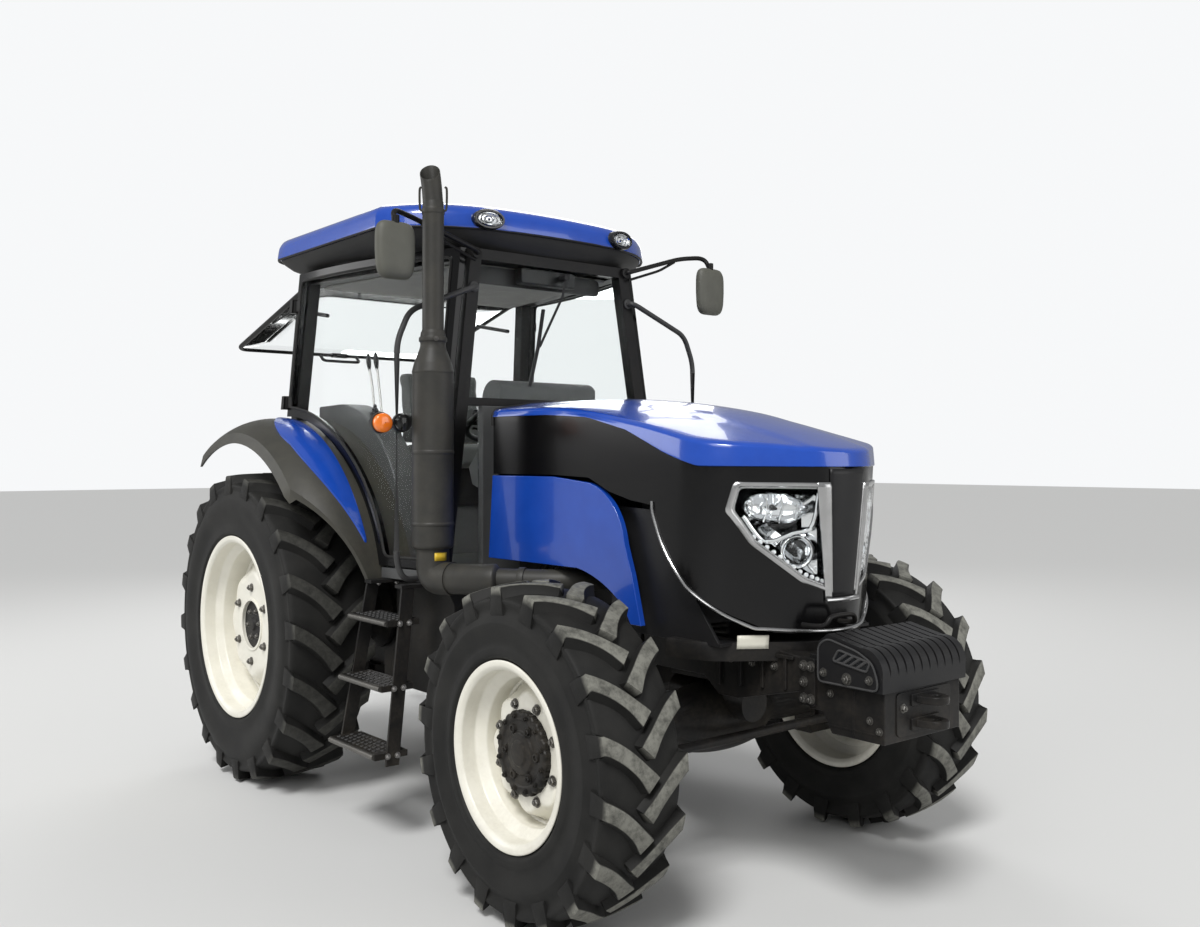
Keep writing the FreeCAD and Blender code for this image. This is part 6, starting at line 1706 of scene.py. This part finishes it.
stepValues = {  # each tread: height, middle across, front edge
    "treads": ((910, -829, 1372), (645, -874, 1405), (375, -920, 1438)), "rear": 1008,
    "gripFrom": 1050, "gripAlong": 36, "gripAcross": 30, "gripHalf": 52, "gripRise": 25.5}


def makeSteps(values):
    dressed("steps", "stepsSkin", "chassisBlack", 0.002)
    stud = latheShape([(0.0105, -0.002), (0.0085, 0.004), (0.006, 0.004), (0.005, 0.0), (0, 0.0)], axis=2,
                      steps=12)
    lips, grips, bolts = [], [], []
    for z, y, front in values["treads"]:
        lips.append(tubeShape(path((1024, y - 80, z + 14), (front - 8, y - 80, z + 14)), 0.0125,
                              sides=14))
        # grips in rows, every second row moved by half a step
        x, across = np.meshgrid(np.arange(values["gripFrom"], front - 30, values["gripAlong"]),
                                np.arange(y - values["gripHalf"], y + values["gripHalf"] + 8,
                                          values["gripAcross"]))
        x = x + values["gripAlong"] / 2 * (np.round((across - y) / values["gripAcross"]) % 2)
        places = np.stack([x.ravel(), across.ravel(), np.full(x.size, z + values["gripRise"])], axis=1)
        grips.append(repeated(stud, np.tile(np.eye(3), (len(places), 1, 1)), path(*places)))
        for end, way in ((values["rear"], toRear), (front + 8, toFront)):
            bolts.append(boltRow(0.017, 0.009, [at(end, y + shift, z + 12) for shift in (-26, 18)], way))
    bolts.append(boltRow(0.018, 0.009, [at(x, y, 1064) for x in (1047, 1327) for y in (-690, -780)],
                         (0, 0, -1)))
    makePiece("stepLips", bothSides(joined(lips)), "darkSteel", slot="dark_paint")
    makePiece("stepGrips", bothSides(joined(grips)), "railGrey")
    makePiece("stepBolts", bothSides(joined(bolts)), "steel")


# front weights and their carrier

weightValues = {  # the side plate's outline and its louvred slot, in x and z
    "plate": ((3156, 868), (3156, 990), (3196, 1016), (3322, 988), (3382, 958), (3404, 905), (3404, 868)),
    "slot": ((3222, 946), (3246, 984), (3376, 958), (3362, 926)), "blades": (0.2, 0.4, 0.6, 0.8),
    "plateIn": -232.5, "plateOut": -239.5, "boltsX": (3372, 3180)}


def makeWeightDetails(values):
    # side plates with a raised lip and a louvred slot, and the bolts through all the weights; the lip
    # round each plate is drawn in a grey lighter than the plate as a painted highlight on its rounded
    # edge
    inner, outer = values["plateIn"] / 1000, values["plateOut"] / 1000
    plateLine, slotLine = (roundedLine(np.array(values[key]) / 1000 + (rearAxle, 0), bend, 5, closed=True)
                           for key, bend in (("plate", 0.022), ("slot", 0.01)))

    def wire(line, y, radius, **more):
        return tubeShape(np.insert(line, 1, y, axis=1), radius, sides=8, up=(0, 1, 0), **more)

    # the ring round the plate is a real raised lip, and its lighter grey is a painted highlight on the
    # plate's rounded edge; the slot's ring and blades are its louvres
    wires = [wire(slotLine, -0.241, 0.0045, closed=True), wire(plateLine, outer, 0.0038, closed=True)]
    slot = np.array(values["slot"], float)
    for share in values["blades"]:
        low, high = slot[0] + (slot[3] - slot[0]) * share, slot[1] + (slot[2] - slot[1]) * share
        blade = np.array([low + (-12, 3), high + (12, -3)]) / 1000 + (rearAxle, 0)
        wires.append(wire(blade, -0.241, 0.0055, flat=0.8))
    makePiece("weightPlates", bothSides(slabShape(plateLine, 1, inner, outer)), "satinBlack", bevel=0.003)
    makePiece("weightSlotFloors", bothSides(slabShape(slotLine, 1, -0.2385, -0.2402)), "lampBlack",
              slot="dark_paint")
    # the plate's lip among these wires carries a painted highlight in its lighter grey
    makePiece("weightLouvresAndHighlightLip", bothSides(joined(wires)), "railGrey")
    bolts = [boltRow(0.026, 0.014, [at(3280, values["plateOut"], 892)], toRight),
             boltRow(0.02, 0.012, [at(x, values["plateOut"], 900) for x in values["boltsX"]], toRight)]
    makePiece("weightBolts", bothSides(joined(bolts)), "darkSteel")


def makeCarrierDetails():
    # flange plates with bolts where the carrier meets the frame, seams and a cover in front
    sides = [sidePlate(3058, 772, 3128, 936, 12, -210.5, -224.5),
             sidePlate(3165, 716, 3395, 722, 2, -209.5, -212.5),
             sidePlate(3282, 700, 3290, 852, 2, -209.5, -213)]
    cover = [crossPlate(-150, 708, 150, 852, 20, 3409, 3415)]
    cover += [crossPlate(-78, z - 20, 78, z + 20, 6, 3414, 3422) for z in (742, 822)]
    flangeBolts = ([at(3080, -224.5, z) for z in (796, 852, 908)]
                   + [at(3112, -224.5, z) for z in (796, 908)])
    sideBolts = [at(x, -210, z) for x, z in ((3186, 826), (3352, 762), (3390, 732))]
    bolts = joined([boltRow(0.024, 0.014, flangeBolts, toRight),
                    boltRow(0.018, 0.01, sideBolts, toRight)])
    front = boltRow(0.02, 0.012, [at(3415, y, 800) for y in (-118, 118)], toFront)
    makePiece("carrierPlates", joined([bothSides(joined(sides))] + cover), "chassisBlack", bevel=0.002)
    makePiece("carrierBolts", joined([bothSides(bolts), front]), "darkSteel")


frameValues = {
    "ribs": ((2120, 800), (2210, 780), (2660, 780), (2770, 790), (2880, 800), (2990, 810)),  # x, foot
    "ribHalf": 7, "ribTop": 925, "filters": (1640, 1752), "lines": 6, "lineFrom": 1585, "linePitch": 46}


def makeFrameDetails(values):
    # ribs and bolts on the cast front frame
    half = values["ribHalf"]
    ribs = [sidePlate(x - half, foot, x + half, values["ribTop"], 4, -214, -226)
            for x, foot in values["ribs"]]
    ribs.append(sidePlate(2100, 918, 3030, 932, 5, -214, -228))
    places = [at(x, -215, z) for x in (2065, 2090) for z in (830, 880, 925)]
    places += [at(x, -215, 884) for x in (2165, 2715, 2825, 2935)]
    makePiece("frameRibs", bothSides(joined(ribs)), "chassisBlack", bevel=0.003)
    makePiece("frameBolts", bothSides(boltRow(0.022, 0.013, places, toRight)), "darkSteel")
    # two hoses that sag between their clips along the frame, and one along the gearbox
    hoseLines = [path((2080, -236 - shift * 0.3, 990 + shift), (2250, -248, 985 + shift - sag),
                      (2400, -232, 1000 + shift), (2560, -246, 978 + shift - sag),
                      (2720, -236, 985 + shift)) for shift, sag in ((0, 0), (26, 14))]
    hoseLines.append(path((1260, -236, 1010), (1400, -262, 960), (1600, -268, 930), (1830, -262, 975),
                          (2040, -240, 1010)))
    hoses = [tubeShape(smoothLine(line, 8), radius, sides=10)
             for line, radius in zip(hoseLines, (0.009, 0.009, 0.011))]
    makePiece("hoses", bothSides(joined(hoses)), "rubber")
    # filters on their bracket, injection pump and its lines, starter
    canister = turnedShape([(0, -0.075), (0.04, -0.075), (0.046, -0.068), (0.046, 0.055), (0.05, 0.06),
                            (0.05, 0.072), (0.034, 0.078), (0, 0.078)], 0.004, 3, axis=2, steps=36)
    filters = [moved(canister, at(x, -285, 880)) for x in values["filters"]]
    makePiece("engineFilters", joined(filters), "bluePaint")
    pump = [tubeShape(path((1560, -290, 1010), (1860, -290, 1010)), [0.052, 0.06], sides=20),
            sidePlate(1580, 952, 1810, 972, 6, -235, -330),
            tubeShape(path((1330, -290, 760), (1560, -290, 760)), 0.055, sides=24),
            tubeShape(path((1560, -285, 760), (1620, -285, 760)), 0.032, sides=20)]
    makePiece("enginePump", joined(pump), "casting", bevel=0.003)
    line = tubeShape(smoothLine(np.array([(0, -300, 1050), (6, -296, 1110), (10, -262, 1150),
                                          (14, -236, 1160)]) / 1000, 5), 0.0042, sides=8)
    lines = [moved(line, at(values["lineFrom"] + values["linePitch"] * step, 0, 0))
             for step in range(values["lines"])]
    makePiece("engineLines", joined(lines), "steel")
    places = [at(x, -225, z) for x in (1262, 1305) for z in np.linspace(620, 1000, 6)]
    makePiece("housingBolts", bothSides(boltRow(0.02, 0.011, places, toRight)), "darkSteel")


def makeTankDetails():
    # filler cap with a fluted rim
    cap = turnedShape([(0, 0.052), (0.03, 0.052), (0.044, 0.046), (0.048, 0.01), (0.04, 0.0), (0, 0.0)],
                      0.004, 3, axis=2, steps=36, wave=lambda turn, r, a: 1 + 0.02 * np.cos(14 * turn))
    makePiece("tankCap", moved(cap, at(1275, -500, 1038)), "satinBlack")


def makeRearLamps():
    # a light cluster on each side of the cab's rear wall: its box and three lenses
    for name, finishName, start, end in (("rearRed", "redLens", -552, -477),
                                         ("rearAmber", "amber", -473, -427),
                                         ("rearClear", "clearLens", -423, -387)):
        lens = crossPlate(start, 1520, end, 1588, 8, -96, -116)
        makePiece(name, bothSides(lens), finishName, bevel=0.006, slot="lamp_glass")
    box = crossPlate(-560, 1510, -379, 1598, 12, -50.5, -100)
    makePiece("rearLampBoxes", bothSides(box), "satinBlack", bevel=0.004)
    plate = gridShape(np.stack([[at(-54, y, z) for y in (-130, 130)] for z in (1590, 1670)]))
    makePiece("rearPlate", plate, "plateCream", thick=0.002)


def makeRearDetails():
    # hydraulic couplers in their blocks, with caps
    block = crossPlate(75, 835, 235, 985, 10, -296, -350)
    coupler = turnedShape([(0, 0.0), (0.02, 0.0), (0.02, 0.02), (0.025, 0.022), (0.025, 0.046),
                           (0.02, 0.05), (0.02, 0.06), (0.012, 0.062), (0, 0.062)], 0.002, 3, axis=2,
                          steps=28)
    cap = latheShape([(0, 0.075), (0.018, 0.074), (0.022, 0.064), (0.022, 0.058)], axis=2, steps=20)
    spots = [at(-350, y, z) for y in (115, 190) for z in (872, 945)]
    makePiece("couplerBlock", bothSides(block), "casting", bevel=0.003)
    makePiece("couplers", bothSides(placedAt(coupler, spots, toRear)), "steel")
    makePiece("couplerCaps", bothSides(placedAt(cap, spots, toRear)), "capRed", thick=0.002)
    # shaft: twelve splines as a wave round a cylinder; its guard is an arch above it
    spline = latheShape([(0, 0.0), (0.0172, 0.0), (0.0172, 0.094), (0.015, 0.099), (0, 0.099)], axis=2,
                        steps=96, wave=lambda turn, r, a: 1 - 0.1 * (np.cos(12 * turn) > 0.2))
    makePiece("ptoSplines", placedAt(spline, [at(-301, 0, 640)], toRear), "steel", replaces=["pto_shaft"],
              smooth=20)
    turn = np.linspace(-0.15, np.pi + 0.15, 30)
    arch = [path(*np.column_stack([np.full(30, x), 108 * np.cos(turn), 640 + 98 * np.sin(turn)]))
            for x in (-300, -340, -395, -415)]
    makePiece("ptoGuard", gridShape(np.stack(arch)), "satinBlack", thick=0.004)
    # the linkage's ball ends, adjusting sleeves and pin heads
    ball = turnedShape([(0.0145, -0.036), (0.03, -0.036), (0.04, -0.02), (0.04, 0.02), (0.03, 0.036),
                        (0.0145, 0.036)], 0.003, 3, axis=2, steps=32)
    makePiece("linkBalls", bothSides(placedAt(ball, [at(-1030, -412, 440)], toRight)), "steel",
              "lower_links")
    sleeve = tubeShape(path((-566, -386, 560), (-566, -386, 800)), 0.024, sides=6, up=(0, 1, 0))
    makePiece("liftRodSleeves", bothSides(sleeve), "darkSteel", "lift_rods")
    pinHead = turnedShape([(0, 0), (0.02, 0), (0.02, 0.01), (0, 0.01)], 0.002, 2, axis=2, steps=24)
    makePiece("armCaps", bothSides(placedAt(pinHead, [at(-240, -331, 1000)], toRight)), "darkSteel",
              "lift_arms")


makeSteps(stepValues)
makeWeightDetails(weightValues)
makeCarrierDetails()
makeFrameDetails(frameValues)
makeTankDetails()
makeRearLamps()
makeRearDetails()
print("details ready")
